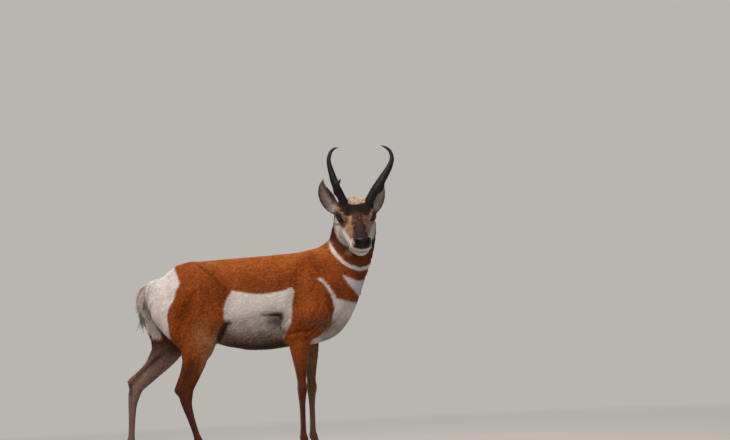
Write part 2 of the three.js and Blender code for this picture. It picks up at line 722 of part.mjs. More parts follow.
// Legs, cut flat on top of the hooves
for (const [name, leg] of Object.entries(legs)) {
  // within the body the spine lies deeper than the limb, so that the rays meet the skin squarely
  const spine = leg.stations.map(([x, y, z]) => {
    const deep = THREE.MathUtils.smoothstep(z, 480, 580);
    return v3(x, THREE.MathUtils.lerp(y, 48 * leg.side, deep), z);
  });
  const cast = castLoft(wholeField, spine, {
    sides: 16,
    rings: 34,
    axis: v3(0, 0, -1),
    reach: () => 230,
    up: v3(1, 0, 0),
  });
  const shank = solid(cast).intersect(limbRegion[name](0));
  nodes.set(name, [shank.intersect(halfSpace(v3(0, 0, CORONET + GAP), v3(0, 0, 1))), looks.coat]);
}

// Hooves: two claws a foot, each a stack of outlines from the coronet down to the flat sole
function claw(x, y, inside) {
  const levels = [
    [CORONET, 17, 18, 20],
    [22, 22, 26, 22],
    [3, 24, 45, 25],
    [0, 22, 48, 24],
  ]; // height, heel and toe reach, full width
  const sections = levels.map(([z, heel, toe, width]) => {
    const ring = [];
    const steps = 12;
    for (let k = 0; k < steps; k += 1) {
      const angle = (-2 * Math.PI * k) / steps;
      const along = Math.cos(angle);
      const taper = along > 0 ? 1 - 0.55 * along ** 3 : 1;
      const across = Math.sin(angle) * inside > 0 ? 0.14 : 1;
      ring.push(
        v3(
          x + (along > 0 ? toe : heel) * along,
          y - inside * (CLAW_GAP + 3) + width * 0.86 * Math.sin(angle) * across * taper,
          z,
        ),
      );
    }
    return ring;
  });
  return solid(new LoftGeometry(sections, { capStart: true, capEnd: true }));
}
for (const [name, leg] of Object.entries(legs)) {
  const foot = leg.stations.at(-1);
  for (const [claws, inside] of [["outer", -leg.side], ["inner", leg.side]]) {
    nodes.set(`hoof_${name.replace("_leg", "")}_${claws}`, [claw(foot[0], foot[1], inside), looks.hoof]);
  }
}

const pronghorn = new THREE.Group();
for (const [name, [made, look]] of nodes) {
  const mesh = new THREE.Mesh(geometryOf(made), look);
  mesh.name = name;
  pronghorn.add(mesh);
}

// The origin goes under the middle of the whole animal
const middle = new THREE.Box3().setFromObject(pronghorn).getCenter(v3(0, 0, 0));
pronghorn.position.set(-middle.x, -middle.y, 0);

export default pronghorn;
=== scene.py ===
"""A standing pronghorn buck at life size, head turned to its right: hide, coat, horns, eyes and hooves.

Sizes are millimetres in the animal's own frame, +X to its front, +Y to its left and +Z up, until a mesh is made.
"""

import logging
import math
from dataclasses import dataclass, field
from enum import Enum
from typing import Any, Callable, Sequence

import bmesh
import bpy
import numpy as np
from mathutils import Matrix, Vector, noise


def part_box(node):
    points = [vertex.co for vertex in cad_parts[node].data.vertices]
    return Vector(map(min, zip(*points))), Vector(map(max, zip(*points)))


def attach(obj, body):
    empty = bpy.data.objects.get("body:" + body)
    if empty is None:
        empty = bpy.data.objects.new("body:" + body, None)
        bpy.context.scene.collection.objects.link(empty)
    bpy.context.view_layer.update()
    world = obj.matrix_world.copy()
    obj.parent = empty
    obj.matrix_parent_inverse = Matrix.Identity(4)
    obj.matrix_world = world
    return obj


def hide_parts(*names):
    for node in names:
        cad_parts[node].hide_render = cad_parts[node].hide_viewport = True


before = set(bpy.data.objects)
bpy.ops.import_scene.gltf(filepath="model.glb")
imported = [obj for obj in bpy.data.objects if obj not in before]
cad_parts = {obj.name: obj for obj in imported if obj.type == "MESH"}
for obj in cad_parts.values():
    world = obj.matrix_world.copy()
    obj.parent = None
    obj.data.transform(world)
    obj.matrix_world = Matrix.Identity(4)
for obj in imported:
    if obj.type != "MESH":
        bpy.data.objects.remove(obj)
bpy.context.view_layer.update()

Array = np.ndarray
Field = Callable[[Array], Array]
Stations = Sequence[Sequence[float]]
Line = Sequence[Sequence[float]]
Triple = tuple[float, float, float]
Faces = Sequence[Sequence[int]]
Piece = bpy.types.Object
Material = bpy.types.Material
Tree = bpy.types.NodeTree
Node = bpy.types.Node
Socket = bpy.types.NodeSocket

logging.basicConfig(level=logging.INFO, format="%(relativeCreated)d ms  %(message)s")
log = logging.getLogger("pronghorn")

FAR = 240.0  # a field's value where its form is too far away to matter
LEFT = np.array([0.0, 1.0, 0.0])

# Trunk outline: station along X, back line, belly line, half width
TRUNK = [
    (-392, 712, 668, 22), (-370, 748, 634, 70), (-320, 780, 600, 104), (-266, 807, 572, 122), (-200, 830, 536, 132),
    (-100, 837, 484, 130), (0, 840, 458, 142), (60, 842, 452, 146), (150, 846, 456, 141), (230, 850, 464, 130),
    (314, 853, 471, 118), (380, 836, 496, 106), (430, 798, 545, 88), (468, 750, 612, 64), (490, 708, 664, 28),
]
# Sweeps: centre x, y, z, half depth, half width
NECK = [
    (330, 0, 700, 138, 94), (404, 0, 770, 118, 86), (455, 0, 850, 99, 77), (476, -4, 922, 93, 71),
    (480, -14, 968, 80, 62), (482, -22, 992, 50, 50),
]
FORE_LEG = [
    (318, 76, 770, 60, 36), (336, 88, 670, 72, 44), (286, 92, 590, 76, 46), (236, 98, 530, 58, 42),
    (229, 98, 470, 46, 34), (229, 96, 420, 36, 28), (230, 94, 370, 27, 23), (230, 92, 325, 20.5, 20),
    (231, 91, 292, 22, 21.5), (229, 90, 262, 18, 17), (228, 89, 220, 13.5, 13), (227, 88, 150, 12.5, 12.5),
    (226, 88, 110, 14, 14.5), (227, 88, 88, 18, 18), (237, 88, 62, 14.5, 17), (248, 88, 38, 18, 22),
]
HIND_LEG = [
    (-205, 66, 740, 88, 50), (-196, 84, 650, 100, 50), (-192, 94, 570, 94, 46), (-190, 98, 505, 80, 42),
    (-194, 99, 455, 56, 37), (-202, 97, 408, 42, 30), (-219, 94, 362, 34, 25), (-239, 92, 322, 32, 22),
    (-246, 91, 288, 30, 20), (-243, 90, 245, 22, 16), (-229, 89, 190, 16, 13.5), (-212, 88, 128, 14, 13),
    (-203, 88, 96, 18.5, 18), (-193, 88, 66, 15, 17), (-182, 88, 40, 18.5, 21.5),
]
FAR_HIND_LEG = [
    (-232, 66, 740, 88, 50), (-262, 84, 655, 104, 50), (-285, 94, 585, 96, 46), (-306, 98, 520, 80, 42),
    (-334, 98, 462, 60, 36), (-369, 97, 408, 39, 30), (-414, 94, 366, 33, 25), (-452, 92, 333, 31, 22),
    (-468, 91, 298, 26, 20), (-478, 90, 250, 18.5, 16), (-483, 89, 195, 15, 13.5), (-488, 88, 132, 14, 13),
    (-491, 88, 98, 18.5, 18), (-481, 88, 66, 15, 17), (-470, 88, 40, 18.5, 21.5),
]
SHOULDER_BLADE = [(292, 62, 800, 46, 34), (352, 84, 660, 60, 40)]
UPPER_ARM = [(366, 86, 620, 58, 44), (250, 98, 556, 56, 42)]
HAM = [(-335, 50, 716, 52, 44), (-318, 78, 630, 58, 44), (-260, 92, 536, 37, 35)]
FAR_HAM = [(-346, 50, 712, 56, 46), (-366, 80, 630, 58, 44), (-338, 92, 540, 46, 36)]
FLANK = [(-128, 74, 742, 70, 52), (-134, 96, 590, 62, 44)]
HEEL_CORD = [(-234, 94, 437, 14, 12), (-257, 92, 368, 9.5, 9.5), (-276, 91, 312, 13.5, 13)]
FAR_HEEL_CORD = [(-382, 96, 443, 14, 12), (-430, 93, 392, 10, 10), (-477, 91, 351, 13, 13)]
TAIL = [
    (-352, 0, 744, 22, 22), (-386, 0, 734, 19, 22), (-408, 0, 704, 17, 25), (-416, 0, 664, 15, 24),
    (-416, 0, 628, 10, 16), (-414, 0, 606, 5, 8),
]
# Head sweeps, in its own frame: x towards the nostrils, y up out of the forehead, z to the left
MUZZLE = [
    (-20, -4, 0, 42, 48), (20, -8, 0, 42, 44), (60, -14, 0, 38, 37), (100, -18, 0, 35, 36), (132, -20, 0, 34, 39),
    (150, -21, 0, 33, 41),
]
CHEEK = [(-34, -50, 36, 42, 32), (20, -54, 33, 40, 35), (80, -54, 20, 30, 31), (128, -54, 12, 22, 29)]
NOSTRIL = [
    (158, 15, 31, 2.5, 2.5), (165, 14, 28, 4, 4.5), (171, 9, 23, 6.2, 7), (176, 3, 18, 6.2, 6.6),
    (182, -3, 13, 4, 4.5),
]
HORN_RIGHT = [
    (448, -84, 1012, 25, 17.5), (443, -86, 1031, 26, 17.4), (431, -89, 1062, 25, 15.8), (420, -92, 1088, 24, 15.2),
    (409, -93, 1117, 23, 15.2), (403, -92, 1137, 20, 15), (397, -90, 1160, 16, 13.4), (391, -87, 1185, 13, 11.4),
    (387, -83, 1210, 11, 9.4), (389, -78, 1231, 9.4, 8.2), (396, -73, 1249, 7.8, 7), (406, -69, 1260, 5.8, 5.3),
    (418, -66, 1266, 3.8, 3.6), (430, -64, 1267, 1.6, 1.6),
]
HORN_LEFT = [
    (532, -72, 1012, 25, 17.5), (540, -74, 1031, 26, 17), (556, -77, 1062, 25, 16.2), (573, -80, 1088, 24, 16),
    (593, -81, 1114, 23, 16), (608, -80, 1137, 20, 15), (625, -78, 1162, 16, 13.2), (637, -75, 1184, 13, 11.4),
    (645, -71, 1206, 11, 9.4), (645, -66, 1226, 9.4, 8.1), (638, -61, 1244, 7.6, 6.7), (627, -57, 1256, 5.8, 5),
    (614, -54, 1263, 3.8, 3.4), (602, -52, 1268, 1.6, 1.6),
]
# Prong of either horn, from the station it forks off
PRONG = [
    (-2, 8, -30, 13, 7), (4, -10, -18, 17, 8), (11, -30, -6, 13, 6.5), (17, -46, 7, 7.5, 4.5), (22, -55, 17, 3, 2.5),
]
# Ears: centre x, y, z and half width from base to tip
EAR_RIGHT = [
    (418, -42, 998, 15), (404, -42, 1016, 24), (388, -44, 1036, 30), (374, -45, 1060, 32), (361, -44, 1086, 26),
    (354, -41, 1110, 15), (356, -36, 1128, 6), (359, -32, 1138, 1.5),
]
EAR_LEFT = [
    (548, -30, 992, 15), (558, -24, 1008, 23), (568, -22, 1028, 28), (577, -21, 1052, 30), (587, -20, 1078, 25),
    (596, -17, 1102, 15), (602, -12, 1120, 6), (604, -8, 1130, 1.5),
]
HEAD_ORIGIN = np.array([488.0, -90.0, 981.0])
HEAD_PITCH = math.radians(41.5)
HEAD_YAW = math.radians(81)
EYE = np.array([2.0, 2.0, 62.0])
EYE_RADIUS = 19.0
EYE_GAZE = np.array([0.42, 0.12, 0.9]) / np.linalg.norm([0.42, 0.12, 0.9])
SKULL_MIDDLE = np.array([60.0, -20.0, 0.0])  # in the head's frame, as are the next two
SKULL_AXIS = np.array([0.6, 0.8, 0.0])  # out of the neck, across the cut between neck and head
DOWN_IN_HEAD = (0.6626, -0.749)  # parts along x and y of the way down
HEAD_BLEND = 34.0  # fillets: head and legs into the body
MUSCLE_BLEND = 26.0
FORE_STEP = 36.0  # how far the left forefoot stands in front of the right
BETWEEN_EARS = 490.0  # along X
BALL_INSET = 0.9  # how much smaller the seen eyeball is than its socket
# Rounded forms of the skull in its own frame: centre, radii, fillet
NOSE_AND_LIPS = [
    ((158, -5, 0), (21, 25, 34), 14), ((154, -30, 0), (21, 20, 38), 12), ((149, -60, 0), (24, 16, 27), 8),
]
SKULL_PAIRS = [
    ((EYE[0] - 3, EYE[1], EYE[2] - 3), (30, 22, 23), 18), ((-24, 20, 48), (38, 18, 30), 16),
    ((-38, 22, 42), (28, 24, 26), 20), ((-80, -18, 54), (26, 26, 24), 20),
]


class Side(Enum):
    """The animal's own left and right."""

    LEFT = 1
    RIGHT = -1


def unit(v: Array) -> Array:
    """Vectors scaled to length one."""
    return v / np.maximum(np.linalg.norm(v, axis=-1, keepdims=True), 1e-9)


def ramp(x: Array, low: float, high: float) -> Array:
    """A smooth step from 0 at low to 1 at high, which may also be below low."""
    t = np.clip((x - low) / (high - low), 0, 1)
    return t * t * (3 - 2 * t)


def hill(x: Array, middle: float, width: float) -> Array:
    """A bell of height one."""
    return np.exp(-(((x - middle) / width) ** 2))


def through(places: Sequence[float], values: Sequence[float], x: Array) -> Array:
    """A smooth curve through values at uneven places.

    Args:
        places: rising places.
        values: the value at each place.
        x: where to read the curve.

    Returns:
        The curve's values.
    """
    s, v = np.asarray(places, float), np.asarray(values, float)
    last = len(s) - 1
    a, b = np.maximum(np.arange(last + 1) - 1, 0), np.minimum(np.arange(last + 1) + 1, last)
    slope = (v[b] - v[a]) / (s[b] - s[a])
    i = np.searchsorted(s[1:last], x, side="left")
    span = s[i + 1] - s[i]
    t = np.clip((x - s[i]) / span, 0, 1)
    t2, t3 = t * t, t * t * t
    return (
        v[i] * (2 * t3 - 3 * t2 + 1) + v[i + 1] * (3 * t2 - 2 * t3)
        + slope[i] * span * (t3 - 2 * t2 + t) + slope[i + 1] * span * (t3 - t2)
    )


def smooth_union(a: Array, b: Array, blend: float) -> Array:
    """Joins two forms.

    Args:
        a: one field.
        b: the other.
        blend: about how wide the fillet between them is.

    Returns:
        The joined field.
    """
    if blend <= 0:
        return np.minimum(a, b)
    h = np.maximum(blend - np.abs(a - b), 0) / blend
    return np.minimum(a, b) - h * h * blend / 4


def smooth_cut(a: Array, tool: Array, blend: float) -> Array:
    """Field a with the tool's inside taken out."""
    return -smooth_union(-a, tool, blend)


def trunk_field(p: Array) -> Array:
    """Reads the trunk's field.

    Args:
        p: points.

    Returns:
        About how far each is from the trunk, negative inside.
    """
    places, top, bottom, half = (np.array(c, float) for c in zip(*TRUNK))
    x = np.clip(p[:, 0], places[0], places[-1])
    top, bottom, half = (through(places, c, x) for c in (top, bottom, half))
    middle = bottom + 0.47 * (top - bottom)
    height = np.where(p[:, 2] > middle, top - middle, middle - bottom)
    ratio = ((np.abs(p[:, 1]) / half) ** 2.2 + (np.abs(p[:, 2] - middle) / height) ** 2.2) ** (1 / 2.2)
    across = (ratio - 1) * np.minimum(half, height)
    past = p[:, 0] - x
    return np.where(past == 0, across, np.hypot(np.maximum(across, 0), past))


class Sweep:
    """A limb swept through stations of x, y, z, half depth and half width."""

    def __init__(self, stations: Stations, side: Array = LEFT, per_span: int = 3, margin: float = 80) -> None:
        """Refines the stations.

        Args:
            stations: centre, half depth and half width of each section.
            side: direction that the width runs in.
            per_span: steps between two stations.
            margin: how far beyond its box the field is worked out.
        """
        s = np.asarray(stations, float)
        places = np.arange(len(s))
        at = np.arange((len(s) - 1) * per_span + 1) / per_span
        fine = np.stack([through(places, s[:, k], at) for k in range(5)], 1)
        self.start, self.along = fine[:-1, :3], np.diff(fine[:, :3], axis=0)
        self.sizes, self.growth = fine[:-1, 3:], np.diff(fine[:, 3:], axis=0)
        self.side = side
        reach = fine[:, 3:].max(1)[:, None] + margin
        self.low, self.high = (fine[:, :3] - reach).min(0), (fine[:, :3] + reach).max(0)

    def read(self, p: Array) -> tuple[Array, Array]:
        """Reads points against the sweep.

        Args:
            p: points.

        Returns:
            Field and nearest segment of each point.
        """
        value = np.full(len(p), FAR)
        nearest = np.zeros(len(p), int)
        near = np.nonzero(np.all((p > self.low) & (p < self.high), axis=1))[0]
        squared = (self.along ** 2).sum(1)
        for part in np.array_split(near, max(1, len(near) // 20000)):
            off = p[part][:, None, :] - self.start[None]
            t = np.clip((off * self.along).sum(2) / squared, 0, 1)
            off = off - t[..., None] * self.along
            across = off @ self.side
            rest = np.sqrt(np.maximum((off ** 2).sum(2) - across ** 2, 0))
            depth = self.sizes[:, 0] + t * self.growth[:, 0]
            width = self.sizes[:, 1] + t * self.growth[:, 1]
            d = (np.hypot(across / width, rest / depth) - 1) * np.minimum(depth, width)
            nearest[part] = d.argmin(1)
            value[part] = d.min(1)
        return value, nearest

    def __call__(self, p: Array) -> Array:
        """Field of each point, negative inside."""
        return self.read(p)[0]

    def direction(self, p: Array) -> Array:
        """The way the sweep runs beside each point."""
        return unit(self.along[self.read(p)[1]])


def ellipsoid(p: Array, centre: Sequence[float], radii: Sequence[float]) -> Array:
    """Reads points against an ellipsoid.

    Args:
        p: points.
        centre: its middle.
        radii: its half axes.

    Returns:
        About how far each point is from it, negative inside.
    """
    q = (p - np.asarray(centre, float)) / np.asarray(radii, float)
    near = np.linalg.norm(q, axis=1)
    return near * (near - 1) / np.maximum(np.linalg.norm(q / np.asarray(radii, float), axis=1), 1e-6)


def mirrored(stations: Stations, side: int, axis: int = 1) -> list[tuple[float, ...]]:
    """Stations on one side of the middle plane."""
    return [tuple(v * side if k == axis else v for k, v in enumerate(s)) for s in stations]


def stepped(stations: Stations) -> list[tuple[float, ...]]:
    """A foreleg's stations moved forward below its elbow, to where the left forefoot stands."""
    return [(x + FORE_STEP * float(ramp(np.array([-z]), -640, -440)[0]), y, z, d, w) for x, y, z, d, w in stations]


@dataclass(frozen=True)
class Limb:
    """One leg: its side, its stations and the muscles that tie it to the trunk."""

    side: int
    stations: Stations
    muscles: Sequence[Stations]


LIMBS = {
    "fore_right": Limb(-1, FORE_LEG, (SHOULDER_BLADE, UPPER_ARM)),
    "fore_left": Limb(1, stepped(FORE_LEG), (SHOULDER_BLADE, UPPER_ARM)),
    "hind_right": Limb(-1, HIND_LEG, (HAM, FLANK, HEEL_CORD)),
    "hind_left": Limb(1, FAR_HIND_LEG, (FAR_HAM, FLANK, FAR_HEEL_CORD)),
}


class HeadFrame:
    """The head's own axes: x towards the nostrils, y up out of the forehead, z to its left."""

    def __init__(self) -> None:
        """Works out the axes from pitch and yaw."""
        cy, sy, cp, sp = math.cos(HEAD_YAW), math.sin(HEAD_YAW), math.cos(HEAD_PITCH), math.sin(HEAD_PITCH)
        self.axes = np.array([[cy * cp, -sy * cp, -sp], [cy * sp, -sy * sp, cp], [sy, cy, 0.0]])

    def enter(self, p: Array) -> Array:
        """Body points in the head's frame."""
        return (p - HEAD_ORIGIN) @ self.axes.T

    def leave(self, q: Array) -> Array:
        """Head points in the body's frame."""
        return np.asarray(q, float) @ self.axes + HEAD_ORIGIN

    def turn(self, v: Array) -> Array:
        """Head directions in the body's frame."""
        return np.asarray(v, float) @ self.axes


HEAD = HeadFrame()


@dataclass
class EyeSocket:
    """One eye's place, and the almond between its lids as angles seen from the middle of the ball."""

    side: Side
    half_length: float = math.radians(51)
    half_height: float = math.radians(38)
    low_share: float = 0.86  # height of the lower half against the upper
    bow: tuple[float, float] = (1.7, 1.9)  # how square the almond is lengthwise and upwards
    lid: float = 2.3
    tilt: float = math.radians(9)

    def centre(self) -> Array:
        """Middle of the ball in the head's frame."""
        return EYE * (1, 1, self.side.value)

    def axes(self) -> Array:
        """Forward, up and gaze axes of the eye, as rows in the head's frame.

        Returns:
            Three unit rows.
        """
        gaze = EYE_GAZE * (1, 1, self.side.value)
        forward = unit(np.array([math.cos(self.tilt), -math.sin(self.tilt), 0.0]))
        forward = unit(forward - gaze * (forward @ gaze))
        up = np.cross(gaze, forward) * self.side.value
        return np.stack([forward, up, gaze])

    def angles(self, q: Array) -> tuple[Array, Array, Array, Array]:
        """Reads points against the almond.

        Args:
            q: points in the head's frame.

        Returns:
            Radius from the ball's middle, angle forward, angle up, and ratio to the almond's rim.
        """
        v = q - self.centre()
        a, b, g = (v @ self.axes().T).T
        forward, up = np.arctan2(a, g), np.arctan2(b, g)
        height = np.where(up > 0, self.half_height, self.half_height * self.low_share)
        ratio = (np.abs(forward / self.half_length) ** self.bow[0] + np.abs(up / height) ** self.bow[1]) ** 0.55
        return np.linalg.norm(v, axis=1), forward, up, ratio

    def rim(self, angle: float, radius: float) -> Array:
        """Finds a point on the almond's rim.

        Args:
            angle: the angle round the rim.
            radius: distance from the ball's middle.

        Returns:
            The point in the head's frame.
        """
        height = self.half_height * (1 if math.sin(angle) > 0 else self.low_share)
        along = math.copysign(abs(math.cos(angle)) ** (2 / self.bow[0]), math.cos(angle)) * self.half_length
        up = math.copysign(abs(math.sin(angle)) ** (2 / self.bow[1]), math.sin(angle)) * height
        ray = np.array([math.tan(along), math.tan(up), 1.0])
        return self.centre() + unit(ray) @ self.axes() * radius


def mouth_line(q: Array) -> Array:
    """How far points stand above the line between the lips, in the head's frame."""
    return q[:, 1] + 38 + 0.03 * (q[:, 0] - 92) + 3.5 * ramp(np.abs(q[:, 2]), 14, 40)


def from_skull(q: Array) -> Array:
    """Distance of points from the middle of the skull, in the head's frame."""
    return np.linalg.norm(q - SKULL_MIDDLE, axis=1)


class Flesh:
    """The animal's body as one smooth field: muscles joined with fillets, then the forms of the face."""

    def __init__(self) -> None:
        """Sets up each sweep once."""
        self.legs = {name: Sweep(mirrored(limb.stations, limb.side)) for name, limb in LIMBS.items()}
        self.muscles = {
            name: [Sweep(mirrored(m, limb.side), per_span=2) for m in limb.muscles] for name, limb in LIMBS.items()
        }
        self.neck = Sweep(NECK, margin=90)
        self.tail = Sweep(TAIL, margin=60)
        sideways = np.array([0.0, 0.0, 1.0])
        self.muzzle = Sweep(MUZZLE, sideways)
        self.cheeks = {s: Sweep(mirrored(CHEEK, s, 2), sideways, 2) for s in (1, -1)}
        self.nostrils = {s: Sweep(mirrored(NOSTRIL, s, 2), sideways, 2, 25) for s in (1, -1)}
        self.sockets = [EyeSocket(Side.LEFT), EyeSocket(Side.RIGHT)]

    def body(self, p: Array) -> Array:
        """Trunk, limbs and neck.

        Args:
            p: points in the animal's own frame.

        Returns:
            Their joined field, negative inside.
        """
        d = trunk_field(p)
        for name, leg in self.legs.items():
            d = smooth_union(d, leg(p), HEAD_BLEND)
            for muscle in self.muscles[name]:
                d = smooth_union(d, muscle(p), MUSCLE_BLEND)
        return smooth_union(d, self.neck(p), 30)

    def skull(self, q: Array) -> Array:
        """The head without its fine forms, in its own frame.

        Args:
            q: points in the head's frame.

        Returns:
            Its field, negative inside.
        """
        d = ellipsoid(q, (-46, -4, 0), (54, 36, 60))
        d = smooth_union(d, self.muzzle(q), 30)
        for centre, radii, fillet in NOSE_AND_LIPS:
            d = smooth_union(d, ellipsoid(q, centre, radii), fillet)
        for s in (1, -1):
            d = smooth_union(d, self.cheeks[s](q), 24)
            for centre, radii, fillet in SKULL_PAIRS:
                d = smooth_union(d, ellipsoid(q, (centre[0], centre[1], centre[2] * s), radii), fillet)
        return d

    def face(self, q: Array, d: Array) -> Array:
        """Carves lids, nostrils, lips and the line of the mouth.

        Args:
            q: points in the head's frame.
            d: the field before the carving.

        Returns:
            The carved field.
        """
        for s in (1, -1):  # the wings of the nostrils, and the hollow in front of the eye
            d = smooth_union(d, ellipsoid(q, (163, 4, 27 * s), (17, 13, 12)), 8)
            d = d + 3.2 * np.exp(-(((q - (40, 2, 45 * s)) / (20, 16, 14)) ** 2).sum(1))
            d = d - 2.4 * np.exp(-(((q - (34, -27, 66 * s)) / (34, 9, 20)) ** 2).sum(1))
            d = smooth_cut(d, self.nostrils[s](q), 3)
        mouth = mouth_line(q)
        open_to = ramp(q[:, 0], 100, 116)
        d = d - 1.5 * hill(np.abs(mouth), 5.5, 3.4) * open_to
        d = d + 1.2 * hill(q[:, 2], 0, 1.7) * ramp(q[:, 0], 148, 160) * hill(mouth, 13, 10)
        groove = np.maximum(np.abs(mouth) - 1.5 * open_to, -(d + 7))
        d = smooth_cut(d, np.where(open_to > 0.02, groove, FAR), 1.6)
        for socket in self.sockets:
            radius, _, up, ratio = socket.angles(q)
            near = radius < 46
            d = smooth_union(d, np.where(near, radius - EYE_RADIUS - socket.lid, FAR), 7)
            d = d + 1.5 * hill(ratio, 1.5, 0.14) * ramp(up, -0.1, 0.3) * ramp(radius, 30, 24)
            opening = np.maximum((ratio - 1) * socket.half_height * EYE_RADIUS, EYE_RADIUS - 1.5 - radius)
            d = smooth_cut(d, np.where(near & (ratio < 4), opening, FAR), 1.6)
        return d

    def whole(self, p: Array) -> Array:
        """Body and head with its fine forms, and the tail's root.

        Args:
            p: points in the animal's own frame.

        Returns:
            The field of the whole skin, negative inside.
        """
        q = HEAD.enter(p)
        near = np.nonzero(from_skull(q) < 300)[0]
        d = self.body(p)
        if len(near):
            inner = np.full(len(p), FAR)
            inner[near] = self.skull(q[near])
            d = smooth_union(d, inner, HEAD_BLEND)
            d[near] = self.face(q[near], d[near])
        return smooth_union(d, self.tail(p), 14)

    def leg_near(self, p: Array) -> tuple[Array, Array]:
        """Finds the leg next to each point.

        Args:
            p: points.

        Returns:
            How far each is from the nearest leg, and the way that leg runs there.
        """
        values = np.stack([leg(p) for leg in self.legs.values()])
        best = values.argmin(0)
        way = np.zeros_like(p)
        for k, leg in enumerate(self.legs.values()):
            here = best == k
            if here.any():
                way[here] = leg.direction(p[here])
        return values.min(0), way


def gradient(shape: Field, p: Array, step: float = 0.7) -> tuple[Array, Array]:
    """Field and gradient from four readings round each point.

    Args:
        shape: the field.
        p: points.
        step: how far off the readings are taken.

    Returns:
        The field's mean and its gradient.
    """
    total, mean = np.zeros_like(p), np.zeros(len(p))
    for corner in np.array([[1, -1, -1], [-1, -1, 1], [-1, 1, -1], [1, 1, 1]], float):
        value = shape(p + corner * step)
        total += value[:, None] * corner
        mean += value / 4
    return mean, total / (4 * step)


def settle(shape: Field, p: Array, rounds: int = 4, limit: float = 4.0) -> Array:
    """Moves points onto the surface where a field is zero.

    Args:
        shape: the field.
        p: points near the surface.
        rounds: how often they are moved.
        limit: the longest single move.

    Returns:
        The moved points.
    """
    p = p.copy()
    for _ in range(rounds):
        value, slope = gradient(shape, p)
        move = value[:, None] * slope / np.maximum((slope ** 2).sum(1), 0.05)[:, None]
        length = np.linalg.norm(move, axis=1, keepdims=True)
        p -= move * np.minimum(1, limit / np.maximum(length, 1e-9))
    return p


def surface_net(shape: Field, low: Sequence[float], high: Sequence[float], pitch: float) -> tuple[Array, Array]:
    """Wraps a field in quads.

    Args:
        shape: the field.
        low: lowest corner of the box searched.
        high: highest corner.
        pitch: spacing of the lattice.

    Returns:
        Vertices and quads.
    """
    low = np.asarray(low, float)
    coarse = 4
    blocks = np.ceil((np.asarray(high, float) - low) / (pitch * coarse)).astype(int)
    count = blocks * coarse
    place = np.stack(np.meshgrid(*(np.arange(n) for n in blocks), indexing="ij"), -1)
    centre = low + (place.reshape(-1, 3) + 0.5) * pitch * coarse
    rough = shape(centre)
    grid = np.repeat(np.repeat(np.repeat(rough.reshape(blocks), coarse, 0), coarse, 1), coarse, 2)
    close = (np.abs(rough) < pitch * coarse * 1.1).reshape(blocks)
    fine = np.repeat(np.repeat(np.repeat(close, coarse, 0), coarse, 1), coarse, 2)
    index = np.argwhere(fine)
    grid[fine] = shape(low + index * pitch)
    cell = np.zeros(tuple(count) + (3,))
    hits = np.zeros(tuple(count))
    inside = grid < 0
    faces = []
    for axis in range(3):
        a = np.moveaxis(inside, axis, 0)
        edge = np.argwhere(a[:-1] != a[1:])
        back = np.empty_like(edge)
        order = [axis] + [k for k in range(3) if k != axis]
        back[:, order] = edge
        back = back[np.all(back[:, order[1:]] > 0, axis=1)]
        ahead = back.copy()
        ahead[:, axis] += 1
        v0, v1 = grid[tuple(back.T)], grid[tuple(ahead.T)]
        crossing = back.astype(float)
        crossing[:, axis] += v0 / (v0 - v1)
        u, w = np.eye(3, dtype=int)[(axis + 1) % 3], np.eye(3, dtype=int)[(axis + 2) % 3]
        corners = [back, back - u, back - u - w, back - w]
        for c in corners:
            np.add.at(cell, tuple(c.T), crossing)
            np.add.at(hits, tuple(c.T), 1)
        ids = np.stack([np.ravel_multi_index(tuple(c.T), tuple(count)) for c in corners], 1)
        faces.append(np.where((v0 < 0)[:, None], ids, ids[:, ::-1]))
    used, quads = np.unique(np.concatenate(faces), return_inverse=True)
    points = cell.reshape(-1, 3)[used] / hits.reshape(-1)[used][:, None]
    return low + points * pitch, quads.reshape(-1, 4)


def refined(points: Array, faces: Faces, wanted: Field) -> tuple[Array, list[list[int]]]:
    """Halves some faces, with clean joints to the others.

    Args:
        points: the mesh's vertices.
        faces: its faces.
        wanted: tells which faces are halved, from their middles.

    Returns:
        Vertices, the new ones last, and faces.
    """
    work = bmesh.new()
    verts = [work.verts.new(p) for p in points]
    for f in faces:
        work.faces.new([verts[i] for i in f])
    work.faces.ensure_lookup_table()
    middles = np.array([f.calc_center_median() for f in work.faces])
    edges = {e for f, yes in zip(work.faces, wanted(middles)) if yes for e in f.edges}
    bmesh.ops.subdivide_edges(work, edges=list(edges), cuts=1, use_grid_fill=True)
    bmesh.ops.triangulate(work, faces=[f for f in work.faces if len(f.verts) > 4])
    work.verts.index_update()
    out = np.array([v.co for v in work.verts])
    made = [[v.index for v in f.verts] for f in work.faces]
    work.free()
    return out, made


def ring_quads(first: int, second: int, around: int, turned: bool = False) -> list[list[int]]:
    """Quads between two closed rings of vertices.

    Args:
        first: index of the first ring's first vertex.
        second: index of the second ring's first vertex.
        around: vertices in each ring.
        turned: whether the quads face the other way.

    Returns:
        One quad for each vertex round.
    """
    k = np.arange(around)
    n = (k + 1) % around
    quads = np.stack([first + k, second + k, second + n, first + n], 1)
    return (quads[:, [0, 3, 2, 1]] if turned else quads).tolist()


def place_of_frame() -> Array:
    """The step from the animal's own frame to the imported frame, read from its left eye's ball.

    Returns:
        The step in millimetres.
    """
    low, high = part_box("eye_left")
    middle = (np.array(low) + np.array(high)) * 500
    return middle - HEAD.leave(EYE)


SHIFT = place_of_frame()


